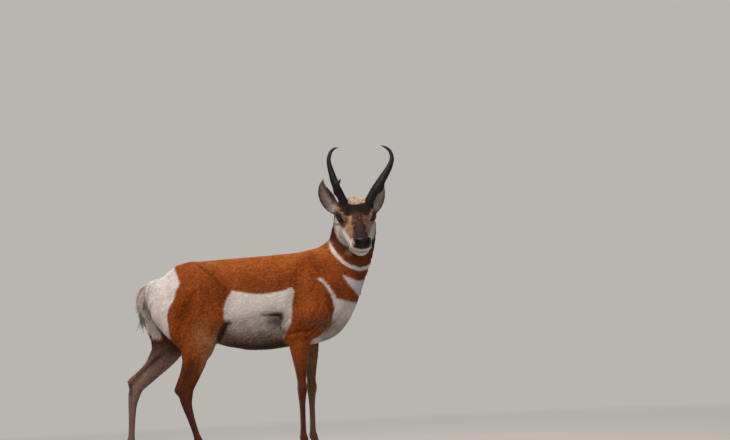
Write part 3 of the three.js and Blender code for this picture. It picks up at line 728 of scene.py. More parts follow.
def mesh_object(name: str, points: Array, faces: Faces, smooth: bool = True) -> Piece:
    """A mesh of points in millimetres, linked to the scene.

    Args:
        name: the piece's name.
        points: vertices in the animal's own frame.
        faces: corner lists, or an array of triangles or quads.
        smooth: whether its faces are shaded smoothly.

    Returns:
        The object.
    """
    data = bpy.data.meshes.new(name)
    co = ((np.asarray(points) + SHIFT) / 1000).astype(np.float32)
    if isinstance(faces, np.ndarray):
        sides = faces.shape[1]
        data.vertices.add(len(co))
        data.vertices.foreach_set("co", co.ravel())
        data.loops.add(faces.size)
        data.loops.foreach_set("vertex_index", faces.ravel().astype(np.int32))
        data.polygons.add(len(faces))
        data.polygons.foreach_set("loop_start", np.arange(0, faces.size, sides, dtype=np.int32))
        data.update(calc_edges=True)
    else:
        data.from_pydata(co.tolist(), [], faces)
    data.validate()
    data.polygons.foreach_set("use_smooth", np.full(len(data.polygons), smooth))
    made = bpy.data.objects.new(name, data)
    bpy.context.scene.collection.objects.link(made)
    return made


def give(made: Piece, name: str, values: Array) -> None:
    """Writes a value or a colour to each vertex of a piece."""
    values = np.asarray(values, np.float32)
    if values.ndim == 2:
        layer = made.data.color_attributes.new(name, "FLOAT_COLOR", "POINT")
        layer.data.foreach_set("color", np.c_[values, np.ones(len(values), np.float32)].ravel())
    else:
        made.data.attributes.new(name, "FLOAT", "POINT").data.foreach_set("value", values)


def linear(code: str) -> Array:
    """An sRGB hex colour as linear light."""
    c = np.array([int(code[i : i + 2], 16) for i in (1, 3, 5)]) / 255
    return np.where(c <= 0.04045, c / 12.92, ((c + 0.055) / 1.055) ** 2.4)


LENGTH, WIDTH, LIFT, SPACING, DEPTH, STRAY = range(6)  # columns of a growth row


@dataclass(frozen=True)
class Growth:
    """How the coat grows in one region, in millimetres and degrees."""

    length: float
    width: float
    lift: float
    spacing: float
    depth: float
    stray: float = 9.0

    def row(self) -> Array:
        """The sizes as one row."""
        return np.array([self.length, self.width, self.lift, self.spacing, self.depth, self.stray])


BARE_SPACING = 60.0  # of hair on bare skin: so wide that none grows
WIDEST_SPACING = 30.0  # beyond this no root is set


class Tint(Enum):
    """Colours of hair and bare skin, and of painted light and shade, as sRGB."""

    RUST = "#9d4b13"
    # lighter rust, used as painted light on upward faces and as a painted highlight on the shoulder
    RUST_LIGHT = "#b05f1a"
    # darker rust, also used as painted shade on the neck, shoulder, flank and upper arm
    RUST_DARK = "#5e260f"
    WHITE = "#ede4e0"
    # painted shade in the hollow behind the elbow
    HOLLOW_SHADE = "#6b5d60"
    SHADED = "#8b7973"
    # painted shade: grey-brown low on the flank, in the chest and flank hollows and between the lower legs
    DUN_SHADE = "#7d604c"
    # painted shade: dark brown under the belly, in the elbow and flank folds and inside the far hind leg
    DEEP_SHADE = "#3d2415"
    TAN = "#b07d55"
    INNER_LEG = "#937b70"
    # pale inner hair of the forelegs, darkened with painted shade between the legs
    INNER_ARM = "#7a5a45"
    # near-black of the face mask, also used as painted shadow in creases, the cleft, behind the jaw and inside the
    # hind legs
    MASK = "#1e0f0e"
    BLAZE = "#43262a"
    OCHRE = "#b1845f"
    NOSE = "#0d0609"
    CREAM = "#b8a48f"
    EAR = "#75605a"
    EAR_PALE = "#b9aca3"
    EAR_DARK = "#241814"
    TAIL = "#a3683c"
    TAIL_PALE = "#d3c4ba"
    LID = "#0d0808"

    def light(self) -> Array:
        """The colour as linear light."""
        return linear(self.value)


BODY, EAR = 0, 1


@dataclass
class Spot:
    """Points on the hide with what is known of each."""

    p: Array
    n: Array
    part: Array
    along: Array
    turn: Array

    def picked(self, rows: Array) -> "Spot":
        """Some of the points."""
        return Spot(self.p[rows], self.n[rows], self.part[rows], self.along[rows], self.turn[rows])


def polyline_distance(x: Array, z: Array, line: Line, closed: bool = False) -> Array:
    """Measures points against a line of straight pieces, in side view.

    Args:
        x: the points' places along X.
        z: their heights.
        line: corners of the line.
        closed: whether its end is joined to its start.

    Returns:
        The distance to its nearest piece.
    """
    a = np.asarray(line, float)
    b = np.roll(a, -1, 0) if closed else a[1:]
    a = a if closed else a[:-1]
    best = np.full(len(x), 1e9)
    for (ax, az), (bx, bz) in zip(a, b):
        dx, dz = bx - ax, bz - az
        t = np.clip(((x - ax) * dx + (z - az) * dz) / (dx * dx + dz * dz), 0, 1)
        best = np.minimum(best, np.hypot(x - ax - t * dx, z - az - t * dz))
    return best


def outline_mask(x: Array, z: Array, outline: Line, soft: float) -> Array:
    """Fills an outline drawn in side view.

    Args:
        x: the points' places along X.
        z: their heights.
        outline: its corners.
        soft: half the width of its soft edge.

    Returns:
        One inside and nought outside.
    """
    inside = np.zeros(len(x), bool)
    count = len(outline)
    for k in range(count):
        (ax, az), (bx, bz) = outline[k], outline[(k + 1) % count]
        crosses = (az > z) != (bz > z)
        inside ^= crosses & (x < (bx - ax) * (z - az) / ((bz - az) or 1e-9) + ax)
    d = polyline_distance(x, z, outline, True) * np.where(inside, -1, 1)
    return ramp(d, soft, -soft)


# Markings, folds and shadows in side view, as X and Z
FLANK_PATCH = [
    (-130, 330), (-112, 481), (-65, 575), (-72, 591), (-72, 634), (-60, 666), (-32, 705), (11, 694), (59, 686),
    (102, 684), (151, 690), (178, 694), (208, 706), (221, 689), (208, 646), (206, 609), (201, 566), (186, 535),
    (171, 519), (180, 481), (190, 330),
]
CHEST_PATCH = [
    (319, 733), (340, 715), (370, 665), (380, 611), (371, 584), (358, 547), (325, 517), (300, 440), (440, 440),
    (560, 560), (560, 634), (459, 631), (422, 641), (393, 650), (366, 697), (351, 717), (330, 739),
]
THROAT_WEDGE = [
    (420, 745), (442, 709), (467, 676), (479, 659), (600, 630), (600, 722), (512, 722), (480, 718), (454, 730),
]
THROAT_BAND = [(369, 878), (392, 837), (422, 800), (452, 779), (491, 765), (522, 771), (539, 782), (575, 800)]
ELBOW_SHADE = [(98, 598), (124, 604), (150, 606), (169, 601), (169, 574), (157, 576), (146, 588), (122, 592)]
FLANK_SHADE = [(-45, 580), (-68, 580), (-96, 548), (-112, 495), (-92, 497), (-74, 532), (-60, 560), (-44, 571)]
ELBOW_EDGE = [(165, 590), (158, 569), (154, 542), (164, 522)]
HOCK_SHADE = [(-208, 425), (-224, 370), (-240, 310)]
HEEL_SHADE = [(-340, 462), (-352, 453), (-431, 393), (-478, 344), (-484, 300)]
CROUP_CREASE = [(-171, 819), (-150, 802), (-119, 776), (-99, 754), (-79, 726), (-53, 698)]
# Front edge of the white rump along X, at heights
RUMP_HEIGHTS = [480, 517, 539, 576, 614, 646, 682, 714, 745, 784, 804, 817, 860]
RUMP_EDGE = [-292, -294, -298, -301, -304, -295, -272, -262, -247, -258, -265, -273, -290]
# line of painted shade along the cleft
CLEFT = [(-381, 684), (-379, 643), (-375, 610), (-356, 576), (-329, 542)]  # behind the right buttock


@dataclass(frozen=True)
class Crease:
    """A fold or hollow pressed into the hide, as a line in side view."""

    line: tuple[tuple[float, float], ...]
    width: float
    depth: float
    sides: tuple[int, ...] = (-1, 1)

    def press(self, spot: "Spot") -> Array:
        """How far the hide sinks at each point.

        Args:
            spot: the points.

        Returns:
            Depths in millimetres.
        """
        x, y, z = spot.p.T
        facing = ramp(np.abs(spot.n[:, 1]), 0.15, 0.5) * np.isin(np.where(y > 0, 1, -1), self.sides)
        if len(self.line) == 1:
            away = np.hypot(x - self.line[0][0], z - self.line[0][1])
        else:
            away = polyline_distance(x, z, self.line)
        return self.depth * hill(away, 0, self.width) * facing * (np.abs(y) > 30)


CREASES = [
    Crease(((88, 597), (125, 599), (164, 593)), 7, 8),  # lip of the hollow behind the elbow
    Crease(((142, 570),), 27, 8),
    Crease(((166, 593), (160, 569), (154, 542), (166, 519)), 8, 8),
    Crease(((-53, 574), (-72, 542), (-105, 493)), 9, 9, (-1,)),  # pocket of the flank
    Crease(((-72, 546),), 20, 6, (-1,)),
    Crease(((-100, 580), (-122, 545), (-155, 500)), 9, 9, (1,)),
    Crease(((-171, 819), (-150, 802), (-119, 776), (-99, 754), (-79, 726)), 6, 2.2),
    Crease(((-79, 726), (-66, 700), (-60, 660), (-58, 610)), 12, 4),
    Crease(((-190, 700), (-236, 640), (-262, 570), (-270, 520)), 16, 4, (-1,)),  # between the muscles of the thigh
    Crease(((-246, 700), (-300, 640), (-340, 570)), 16, 4, (1,)),
    Crease(((292, 812), (330, 740), (366, 672), (384, 618), (374, 580)), 14, 6),  # front of the shoulder
    Crease(((244, 790), (228, 720), (216, 650)), 15, 4),
    Crease(((300, 700), (322, 640), (300, 590)), 12, 3),
    Crease(((196, 518), (232, 526), (268, 522), (304, 538), (330, 548)), 8, 6),  # under the elbow
    Crease(((332, 552),), 30, 5),
    Crease(((262, 520), (252, 460), (242, 390)), 7, 2.5),
    Crease(((-208, 470), (-226, 412), (-240, 366), (-250, 330)), 6.5, 4.5, (-1,)),  # in front of the heel cord
    Crease(((-186, 430), (-204, 380)), 7, 2.5, (-1,)),
    Crease(((-352, 445), (-402, 404), (-446, 362)), 7, 4, (1,)),
    Crease(((-80, 520), (0, 500), (90, 505)), 12, 2.5),
]


class Survey:
    """The measures of a set of points that coat and colour are chosen by."""

    def __init__(self, flesh: Flesh, spot: Spot) -> None:
        """Reads the fields once for all that follows.

        Args:
            flesh: the animal's body.
            spot: the points.
        """
        self.spot = spot
        p = spot.p
        self.x, self.y, self.z = p.T
        self.q = HEAD.enter(p)
        self.across = np.abs(self.q[:, 2])
        self.down = DOWN_IN_HEAD[0] * self.q[:, 0] + DOWN_IN_HEAD[1] * self.q[:, 1]
        near = from_skull(self.q) < 320
        skull = np.full(len(p), FAR)
        skull[near] = flesh.skull(self.q[near])
        plane = (self.q - (-62, -60, 0)) @ SKULL_AXIS
        self.skull_gap = skull
        self.grain = np.zeros((2, len(p)))
        self.grain[:, near] = [[noise.noise(Vector(v * scale)) for v in p[near]] for scale in (0.075, 0.19)]
        self.ear = (spot.part == EAR).astype(float)
        self.head = ramp(skull, 24, 8) * ramp(plane, -26, 8) * (1 - self.ear)
        self.trunk = trunk_field(p)
        self.leg_gap, self.leg_way = flesh.leg_near(p)
        self.neck_way = -flesh.neck.direction(p)
        self.tail = ramp(flesh.tail(p), 12, 3) * ramp(self.x, -384, -396) * (1 - self.head)
        self.tail_way = flesh.tail.direction(p)
        self.neck = ramp(self.trunk, 2, 34) * ramp(self.x, 300, 372) * ramp(self.z, 560, 660) * (1 - self.head)
        self.leg = ramp(self.z, 520, 400) * ramp(self.leg_gap, 40, 14)
        self.outward = spot.n[:, 1] * np.sign(self.y)
        self.rump_edge = through(RUMP_HEIGHTS, RUMP_EDGE, self.z) - 46 * ramp(self.z, 660, 560) * (self.y > 0)
        self.rump = ramp(self.x, self.rump_edge + 5, self.rump_edge - 5) * ramp(self.z, 512, 532) * (self.trunk < 130)
        self.eyes = []
        for socket in flesh.sockets:
            radius, forward, up, ratio = socket.angles(self.q)
            self.eyes.append((radius, forward, up, np.where(radius < 50, ratio, 9.0)))
        self.lid = np.maximum(*(ramp(e[3], 1.42, 1.1) * ramp(e[0], 30, 24) for e in self.eyes))
        nose_low = 136 - 30 * (self.across / 36) ** 2.4  # lower edge of the bare nose
        self.nose = (
            ramp(self.q[:, 0], 140, 152) * ramp(self.across, 37, 33) * ramp(self.down - nose_low, 3, -3)
            * ramp(self.down, 84, 94) * self.head
        )
        lips = mouth_line(self.q) / (1 + 0.7 * ramp(self.across, 24, 8))
        self.mouth = hill(lips, 0, 3.6) * ramp(self.q[:, 0], 100, 112) * self.head

    def lie(self) -> Array:
        """The way the hair runs at each point.

        Returns:
            Unit rows along the skin.
        """
        s = self
        way = np.tile(unit(np.array([-1.0, 0, -0.3])), (len(s.x), 1))
        down = np.array([-0.12, 0, -1.0])
        way = blend(way, np.array([-0.45, 0, -0.9]), ramp(s.x, -40, -190) * ramp(s.z, 830, 640))
        way = blend(way, np.array([-0.35, 0, -0.95]), ramp(s.x, 190, 300) * ramp(s.z, 760, 600))
        side = unit(s.spot.p * (0, 1, 0) + (0, 1e-6, 0))
        way = blend(way, down + side * 0.25 + (-0.25, 0, 0), ramp(s.x, -330, -380) * (1 - s.tail))
        way = blend(way, s.neck_way + (-0.25, 0, -0.1), s.neck)
        way = blend(way, s.leg_way, np.maximum(s.leg, ramp(s.leg_gap, 16, 2) * ramp(s.z, 600, 480)))
        way = blend(way, s.tail_way + side * 0.3, s.tail)
        face = np.stack([-np.ones(len(s.x)), 0.1 + 0.1 * np.sign(s.q[:, 1] + 20), 0.12 * np.sign(s.q[:, 2])], 1)
        face = blend(face, np.array([-1.0, -0.55, 0]), ramp(s.q[:, 1], -40, -75) * ramp(s.q[:, 0], 90, 40))
        crown = ramp(s.q[:, 0], -34, -58) * ramp(s.q[:, 1], 0, 16) * ramp(s.across, 46, 30)
        face = blend(face, np.array([-0.5, 0.85, 0]), crown)
        return blend(way, HEAD.turn(face), s.head)

    def growth(self) -> Array:
        """Length, width, lift, spacing, depth and stray of the coat at each point.

        Returns:
            One growth row for each point.
        """
        s = self
        out = np.tile(Growth(15, 2.2, 5, 2.75, 3.4).row(), (len(s.x), 1))
        mane = s.neck * ramp(np.abs(s.y + 6), 34, 12) * ramp(s.spot.n[:, 0], 0.2, -0.3)
        crown = s.head * ramp(s.q[:, 0], -20, -42) * ramp(s.q[:, 1], 0, 16) * ramp(s.across, 50, 34)
        layers = [
            (Growth(17, 2.3, 7, 3.0, 4, 13), ramp(s.z, 560, 480) * ramp(s.trunk, 30, 5)),
            (Growth(26, 1.6, 3.5, 2.8, 5, 7), s.rump),
            (Growth(14, 2.0, 6, 2.6, 3.6), s.neck),
            (Growth(26, 2.1, 10, 3.0, 6, 12), mane),
            (Growth(13, 1.9, 4, 3.0, 2.2, 7), ramp(s.z, 520, 400) * np.maximum(s.leg, ramp(s.z, 440, 400))),
            (Growth(8, 1.5, 4, 2.5, 1.4, 7), ramp(s.z, 330, 230)),
            (Growth(46, 2.0, 7, 2.5, 7, 9), s.tail),
            (Growth(66, 2.0, 5, 2.5, 7, 9), s.tail * ramp(s.z, 690, 620)),
            (Growth(9.5, 1.35, 6, 2.1, 1.6, 10), s.head),
            (Growth(15, 1.6, 9, 2.3, 2.2, 12), s.head * ramp(s.q[:, 1], -42, -62) * ramp(s.q[:, 0], 90, 50)),
            (Growth(5, 1.0, 5, 1.7, 0.8, 8), s.head * ramp(s.q[:, 0], 95, 128)),
            (Growth(24, 1.8, 26, 2.4, 1, 20), hill(s.x, 452, 15) * hill(s.z, 836, 13) * (s.y < -30)),
            (Growth(18, 1.7, 34, 2.1, 4, 34), crown),
            (Growth(7, 1.3, 5, 2.1, 0.6, 9), s.ear),
        ]
        for grown, mask in layers:
            out = blend(out, grown.row(), mask)
        inner = s.ear * (s.spot.turn < 0)
        out = blend(out, Growth(15, 1.0, 14, 2.3, 0.4, 14).row(), inner * ramp(s.spot.along, 0.9, 0.7))
        bare = np.maximum(s.lid, np.maximum(s.nose, s.mouth))
        out[:, DEPTH] *= 1 - bare
        out[:, SPACING] = np.where(bare > 0.4, BARE_SPACING, out[:, SPACING])
        sunk = sum(crease.press(s.spot) for crease in CREASES) * (1 - s.head) * (1 - s.ear)
        out[:, LIFT] += 15 * np.clip(sunk / 3.5, 0, 1)  # hair stands out of the folds
        nostril = s.head * ramp(s.q[:, 0], 150, 156)
        out[:, LENGTH] *= 1 - 0.35 * nostril
        return out

    def colour(self, feather: Array | float = 0.0) -> Array:
        """The hair's colour at each point, with painted light and shade, as linear light.

        Args:
            feather: a step in millimetres that ruffles the edges of the markings.

        Returns:
            A colour for each point.
        """
        s = self
        x, z = s.x + feather, s.z + feather * 0.6
        out = np.tile(Tint.RUST.light(), (len(x), 1))
        body = (1 - s.head) * (1 - s.ear)
        layers: list[tuple[Tint, Array]] = [
            # painted light: hair facing up is lighter, as if lit from above
            (Tint.RUST_LIGHT, 0.75 * ramp(s.spot.n[:, 2], 0.35, 0.95) * body),
            (Tint.RUST_DARK, 0.35 * ramp(z, 800, 720) * ramp(z, 640, 720) * ramp(x, -60, 20) * ramp(x, 260, 180)),
            # painted highlight on the shoulder, painted shade in the groove in front of it and at the foot of the
            # neck
            (Tint.RUST_LIGHT, 0.5 * hill(x, 288, 34) * hill(z, 655, 50)),
            (Tint.RUST_DARK, 0.6 * hill(x, 358, 15) * hill(z, 640, 50)),
            (Tint.RUST_DARK, 0.55 * hill(x, 402, 30) * hill(z, 692, 34)),
            (Tint.RUST_DARK, 0.4 * hill(x, -110, 60) * hill(z, 690, 60)),
            # painted shade on the neck under the jaw, and painted shadow behind the jaw on the right side
            (Tint.RUST_DARK, 0.5 * s.neck * ramp(x, 420, 470) * ramp(z, 900, 840)),
            (Tint.RUST_DARK, 0.95 * s.neck * ramp(s.skull_gap, 74, 26) * (s.y < 0)),
            (Tint.MASK, 0.75 * s.neck * ramp(s.skull_gap, 60, 16) * (s.y < 0)),
            (Tint.OCHRE, 0.85 * hill(x, 452, 13) * hill(z, 834, 13) * (s.y < -30)),
            # painted shade in the crease of the croup
            (Tint.MASK, 0.5 * ramp(polyline_distance(x, z, CROUP_CREASE), 4.0, 1.5) * ramp(x, -50, -110)),
            # painted shade in the fold in front of the thigh
            (Tint.RUST_DARK, 0.7 * hill(x, -68, 20) * hill(z, 700, 34)),
            (Tint.RUST_DARK, 0.35 * hill(x, -210, 60) * hill(z, 600, 70)),
            # painted shade under the upper arm, above the elbow
            (Tint.RUST_DARK, 0.6 * hill(x, 250, 60) * hill(z, 560, 34)),
        ]
        layers += self.leg_layers(x, z)
        under = ramp(np.abs(s.y), 92, 70) * ramp(z, 530, 500) * ramp(x, -190, -150) * ramp(x, 430, 400)
        under = under * ramp(s.leg_gap, 2, 12) * ramp(z, 425, 440)
        white = np.maximum(outline_mask(x, z, FLANK_PATCH, 4) * ramp(s.leg_gap + 20 * (z > 505), 4, 16), under)
        white = np.maximum(white, outline_mask(x, z, CHEST_PATCH, 4) * ramp(s.leg_gap + 30 * (z > 560), 2, 14))
        white = np.maximum(white, outline_mask(x, z, THROAT_WEDGE, 3.5))
        white = np.maximum(white, ramp(polyline_distance(x, z, THROAT_BAND), 9.5, 5.0) * ramp(x, 362, 380))
        white = np.maximum(white, s.rump) * body
        layers.append((Tint.WHITE, white))
        # painted shade: the white flank and belly darken downward
        flank = body * white * ramp(x, 215, 185) * ramp(x, -190, -160)
        layers.append((Tint.SHADED, 0.5 * flank * ramp(z - 0.12 * x, 640, 560)))
        layers.append((Tint.DUN_SHADE, 0.85 * flank * ramp(z, 552, 500)))
        layers.append((Tint.DEEP_SHADE, 0.95 * body * white * ramp(z + 7 * np.sin(x / 37), 510, 474) * ramp(x, 300, 250)))
        layers += self.fold_layers(x, z, body)
        # painted shade low on the chest and in the hollow of the chest
        layers.append((Tint.SHADED, 0.6 * body * white * ramp(z, 600, 520) * ramp(x, 300, 330)))
        layers.append((Tint.DUN_SHADE, 0.85 * hill(x, 338, 42) * hill(z, 552, 30) * body))
        layers.append((Tint.TAIL_PALE, s.tail * 0.85))
        # painted shade in the cleft behind the right buttock
        layers.append((Tint.MASK, 0.6 * ramp(polyline_distance(x, z, CLEFT), 13, 3) * (s.y > -8) * (s.leg < 1)))
        tail_back = s.tail * ramp(s.spot.n[:, 0], -0.35, -0.8) * ramp(np.abs(s.y), 22, 8)
        layers.append((Tint.TAIL, tail_back * ramp(z, 610, 650)))
        layers += self.face_layers(feather)
        for tint, mask in layers:
            out = blend(out, tint.light(), np.clip(mask, 0, 1))
        return out

    def leg_layers(self, x: Array, z: Array) -> list[tuple[Tint, Array]]:
        """Colours of the limbs: pale along the front and inside, dark behind and down to the feet, with painted shade
        at hock and heel, inside the upper hind legs and between the legs.

        Args:
            x: places along X with the edges ruffled.
            z: heights with the edges ruffled.

        Returns:
            Tints with their masks, from the lowest layer up.
        """
        s = self
        ahead, hind, leg = s.spot.n[:, 0], s.x < 0, s.leg * (1 - s.head)
        inner = ramp(s.outward + 0.35 * ahead * np.where(hind, 1, -1), 0.05, -0.45)
        inner = np.where((s.y > 0) & hind, ramp(s.outward, 0.25, -0.3), inner)
        thigh = hind * ramp(z, 590, 520) * ramp(z, 340, 400) * ramp(s.leg_gap, 40, 14)
        front = -166 - 60 * (s.y > 0)  # edge of the thigh along X
        heel = ramp(polyline_distance(x, z, HEEL_SHADE), 15, 2)
        return [
            (Tint.TAN, 0.85 * thigh * ramp(ahead, 0.0, 0.7)),
            (Tint.TAN, 0.55 * hind * hill(z, 520, 60) * ramp(s.outward, 0.3, 0.8) * hill(x, front, 36)),
            (Tint.RUST_DARK, 0.75 * leg * hind * ramp(z, 470, 380) * ramp(ahead, 0.35, -0.2)),
            (Tint.MASK, 0.55 * leg * (s.y < 0) * ramp(polyline_distance(x, z, HOCK_SHADE), 15, 3)),
            (Tint.RUST_LIGHT, 0.4 * leg * ~hind * hill(z, 500, 26)),
            (Tint.RUST_DARK, 0.8 * leg * ramp(z, 455, 320)),
            (Tint.MASK, 0.4 * leg * ramp(z, 360, 200)),
            (Tint.INNER_LEG, 0.85 * hind * inner * ramp(z, 540, 450) * ramp(z, 60, 150)),
            # inner side of the forelegs: pale hair with painted shade between the legs
            (Tint.INNER_ARM, 0.85 * ~hind * inner * ramp(z, 540, 450) * ramp(z, 60, 150) * (1 - s.head)),
            # painted shadow inside the far hind leg and along its heel
            (Tint.DEEP_SHADE, 0.75 * hind * (s.y > 0) * inner * hill(x, -286, 40) * hill(z, 475, 40)),
            (Tint.DEEP_SHADE, 0.7 * hind * (s.y > 0) * heel * ramp(z, 480, 450)),
            # painted shade on the inner sides of the lower legs
            (Tint.DUN_SHADE, 0.6 * inner * ramp(z, 330, 180)),
            # painted shadow inside the hind legs under the body
            (Tint.MASK, 0.6 * inner * ramp(z, 430, 520) * hind),
            (Tint.TAIL, 0.75 * leg * hind * (s.y > 0) * ramp(ahead, -0.45, -0.8) * ramp(z, 340, 400)),
            (Tint.INNER_LEG, 0.8 * leg * ~hind * ramp(ahead, -0.6, -0.85) * ramp(z, 540, 470)),
            (Tint.INNER_LEG, 0.6 * leg * ~hind * ramp(ahead, 0.8, 0.95) * ramp(z, 540, 470)),
        ]

    def fold_layers(self, x: Array, z: Array, body: Array) -> list[tuple[Tint, Array]]:
        """Painted shade in the hollow behind the elbow and in the pocket of the flank.

        Args:
            x: places along X with the edges ruffled.
            z: heights with the edges ruffled.
            body: one on the body, nought on head and ears.

        Returns:
            Tints with their masks, from the lowest layer up.
        """
        back = x + 48 * (self.y > 0) * ramp(x, 40, -20)
        edge = ramp(polyline_distance(x, z, ELBOW_EDGE), 9, 1)
        return [
            (Tint.HOLLOW_SHADE, 0.9 * hill(x, 140, 30) * hill(z, 566, 30) * body),
            (Tint.DUN_SHADE, 0.85 * hill(back, -74, 34) * hill(z, 522, 46) * body),
            (Tint.HOLLOW_SHADE, 0.8 * edge * body),
            (Tint.HOLLOW_SHADE, 0.7 * hill(x, 104, 26) * hill(z, 592, 7) * body),
            (Tint.DEEP_SHADE, 0.95 * outline_mask(x, z, ELBOW_SHADE, 5) * body),
            (Tint.DEEP_SHADE, 0.95 * outline_mask(back, z, FLANK_SHADE, 7) * body),
        ]

    def streaks(self) -> Array:
        """Light and dark locks: how bright the coat is at each point, about one.

        Returns:
            A factor for the colour of each point.
        """
        s = self
        p = s.spot.p

        def locks(way: Sequence[float], long: float, thin: float) -> Array:
            """Noise drawn out into locks that run one way."""
            ahead = unit(np.array(way, float))
            over = unit(np.cross(ahead, (0, 1, 0)))
            axes = np.stack([ahead / long, over / thin, LEFT / (2 * thin)])
            return np.array([noise.fractal(Vector(v), 0.7, 2.0, 3) for v in p @ axes.T])

        under = ramp(s.z, 610, 560) * ramp(s.z, 400, 440) * ramp(s.x, -150, -120) * (1 - s.leg)
        hanging = np.maximum(s.rump, s.tail)
        plain = (1 - np.maximum(under, hanging)) * (1 - s.head) * (1 - s.ear)
        out = 1 + 0.36 * plain * locks((1, 0, 0.35), 15, 6.5) + 0.2 * plain * locks((0.3, 0, 1), 70, 36)
        return out + 0.5 * under * locks((0.8, 0, 0.6), 42, 8) + 0.15 * hanging * locks((0.1, 0, 1), 60, 6)

    def face_layers(self, feather: Array | float) -> list[tuple[Tint, Array]]:
        """Colours of the head and ears.

        Args:
            feather: a step in millimetres that ruffles the edges of the markings.

        Returns:
            Tints with their masks, from the lowest layer up.
        """
        s = self
        qx, qy = s.q[:, 0] + feather * 0.4, s.q[:, 1]
        down, across = s.down + feather * 0.4, s.across + feather * 0.25
        h = s.head
        broad, fine = s.grain
        low_edge = 34 + (89 - across) * 1.35 + 16 * broad + 9 * fine
        white = ramp(down, low_edge - 8, low_edge + 8) * ramp(qx, -30, -6)
        white = np.maximum(white, ramp(qy, -26, -38) * ramp(qx, -58, -40))
        blaze_half = through([-40, 12, 24, 60, 100, 130, 160], [74, 56, 27, 25, 27, 31, 35], qx)
        blaze_half = blaze_half + 7 * broad + 5 * fine
        blaze = ramp(across, blaze_half + 8, blaze_half - 6) * ramp(qy, -24, -14) * ramp(qx, -60, -46)
        about_eye = np.maximum(*(ramp(e[3], 2.7, 1.3) * ramp(e[0], 44, 28) for e in s.eyes))
        jaw = hill(qx, -38, 26) * hill(qy, -74, 26) * ramp(across, 22, 34)
        layers = [
            (Tint.RUST, h),
            (Tint.OCHRE, 0.9 * h * ramp(qx, -70, -30)),
            (Tint.WHITE, h * white),
            (Tint.WHITE, h * ramp(qx, 118, 132)),
            (Tint.BLAZE, h * blaze),
            (Tint.MASK, h * blaze * ramp(qx, 26, 4)),
            (Tint.MASK, 0.55 * h * blaze * hill(qx, 80, 30) * ramp(across, 6, 18)),
            (Tint.MASK, 0.7 * h * blaze * ramp(qx, 96, 132)),
            (Tint.OCHRE, 0.5 * h * blaze * hill(qx, 50, 26) * ramp(fine, 0.1, 0.4)),
            (Tint.BLAZE, 0.55 * h * (1 - blaze) * ramp(fine, 0.08, 0.4) * hill(qx, 40, 60)),
            (Tint.WHITE, 0.2 * h * (1 - blaze) * ramp(broad, -0.05, -0.35) * hill(qx, 40, 60)),
            (Tint.MASK, h * about_eye),
            (Tint.MASK, 0.75 * h * hill(down, 28, 5) * hill(across, 72, 9)),
            (Tint.MASK, 0.9 * h * jaw),
            (Tint.CREAM, h * ramp(qx + 10 * broad, -26, -38) * ramp(qy, 4, 18) * ramp(across, 46, 36)),
            (Tint.OCHRE, 0.8 * h * ramp(qx, -26, -38) * ramp(across, 46, 36) * ramp(broad, 0.02, 0.3)),
            (Tint.WHITE, 0.7 * h * ramp(qx, -30, -44) * ramp(across, 46, 36) * ramp(fine, 0.1, 0.4)),
            (Tint.NOSE, s.nose),
            (Tint.MASK, 0.9 * s.mouth),
            (Tint.LID, s.lid),
        ]
        t, a = s.spot.along, np.abs(s.spot.turn)
        inner = s.ear * (s.spot.turn < 0)
        layers += [
            (Tint.OCHRE, s.ear),
            (Tint.EAR, s.ear * ramp(t, 0.0, 0.22)),
            (Tint.EAR_PALE, 0.8 * inner * ramp(t, 0.3, 0.1)),
            (Tint.EAR_DARK, 0.7 * inner * ramp(a, 0.55, 0.75) * ramp(t, 0.25, 0.5)),
            (Tint.EAR_PALE, 0.85 * inner * hill(a, 0.42, 0.14) * ramp(t, 0.86, 0.6)),
            (Tint.EAR_DARK, 0.4 * inner * ramp(a, 0.2, 0.06) * ramp(t, 0.2, 0.4)),
            (Tint.EAR_DARK, 0.9 * s.ear * ramp(a, 0.86, 0.95) * ramp(t, 0.15, 0.35)),
            (Tint.EAR_DARK, s.ear * ramp(t, 0.78, 0.92)),
        ]
        return layers


def blend(a: Array, b: Array, mask: Array) -> Array:
    """Rows of a turned into b where the mask is one."""
    m = np.asarray(mask, float)[:, None]
    return a * (1 - m) + b * m


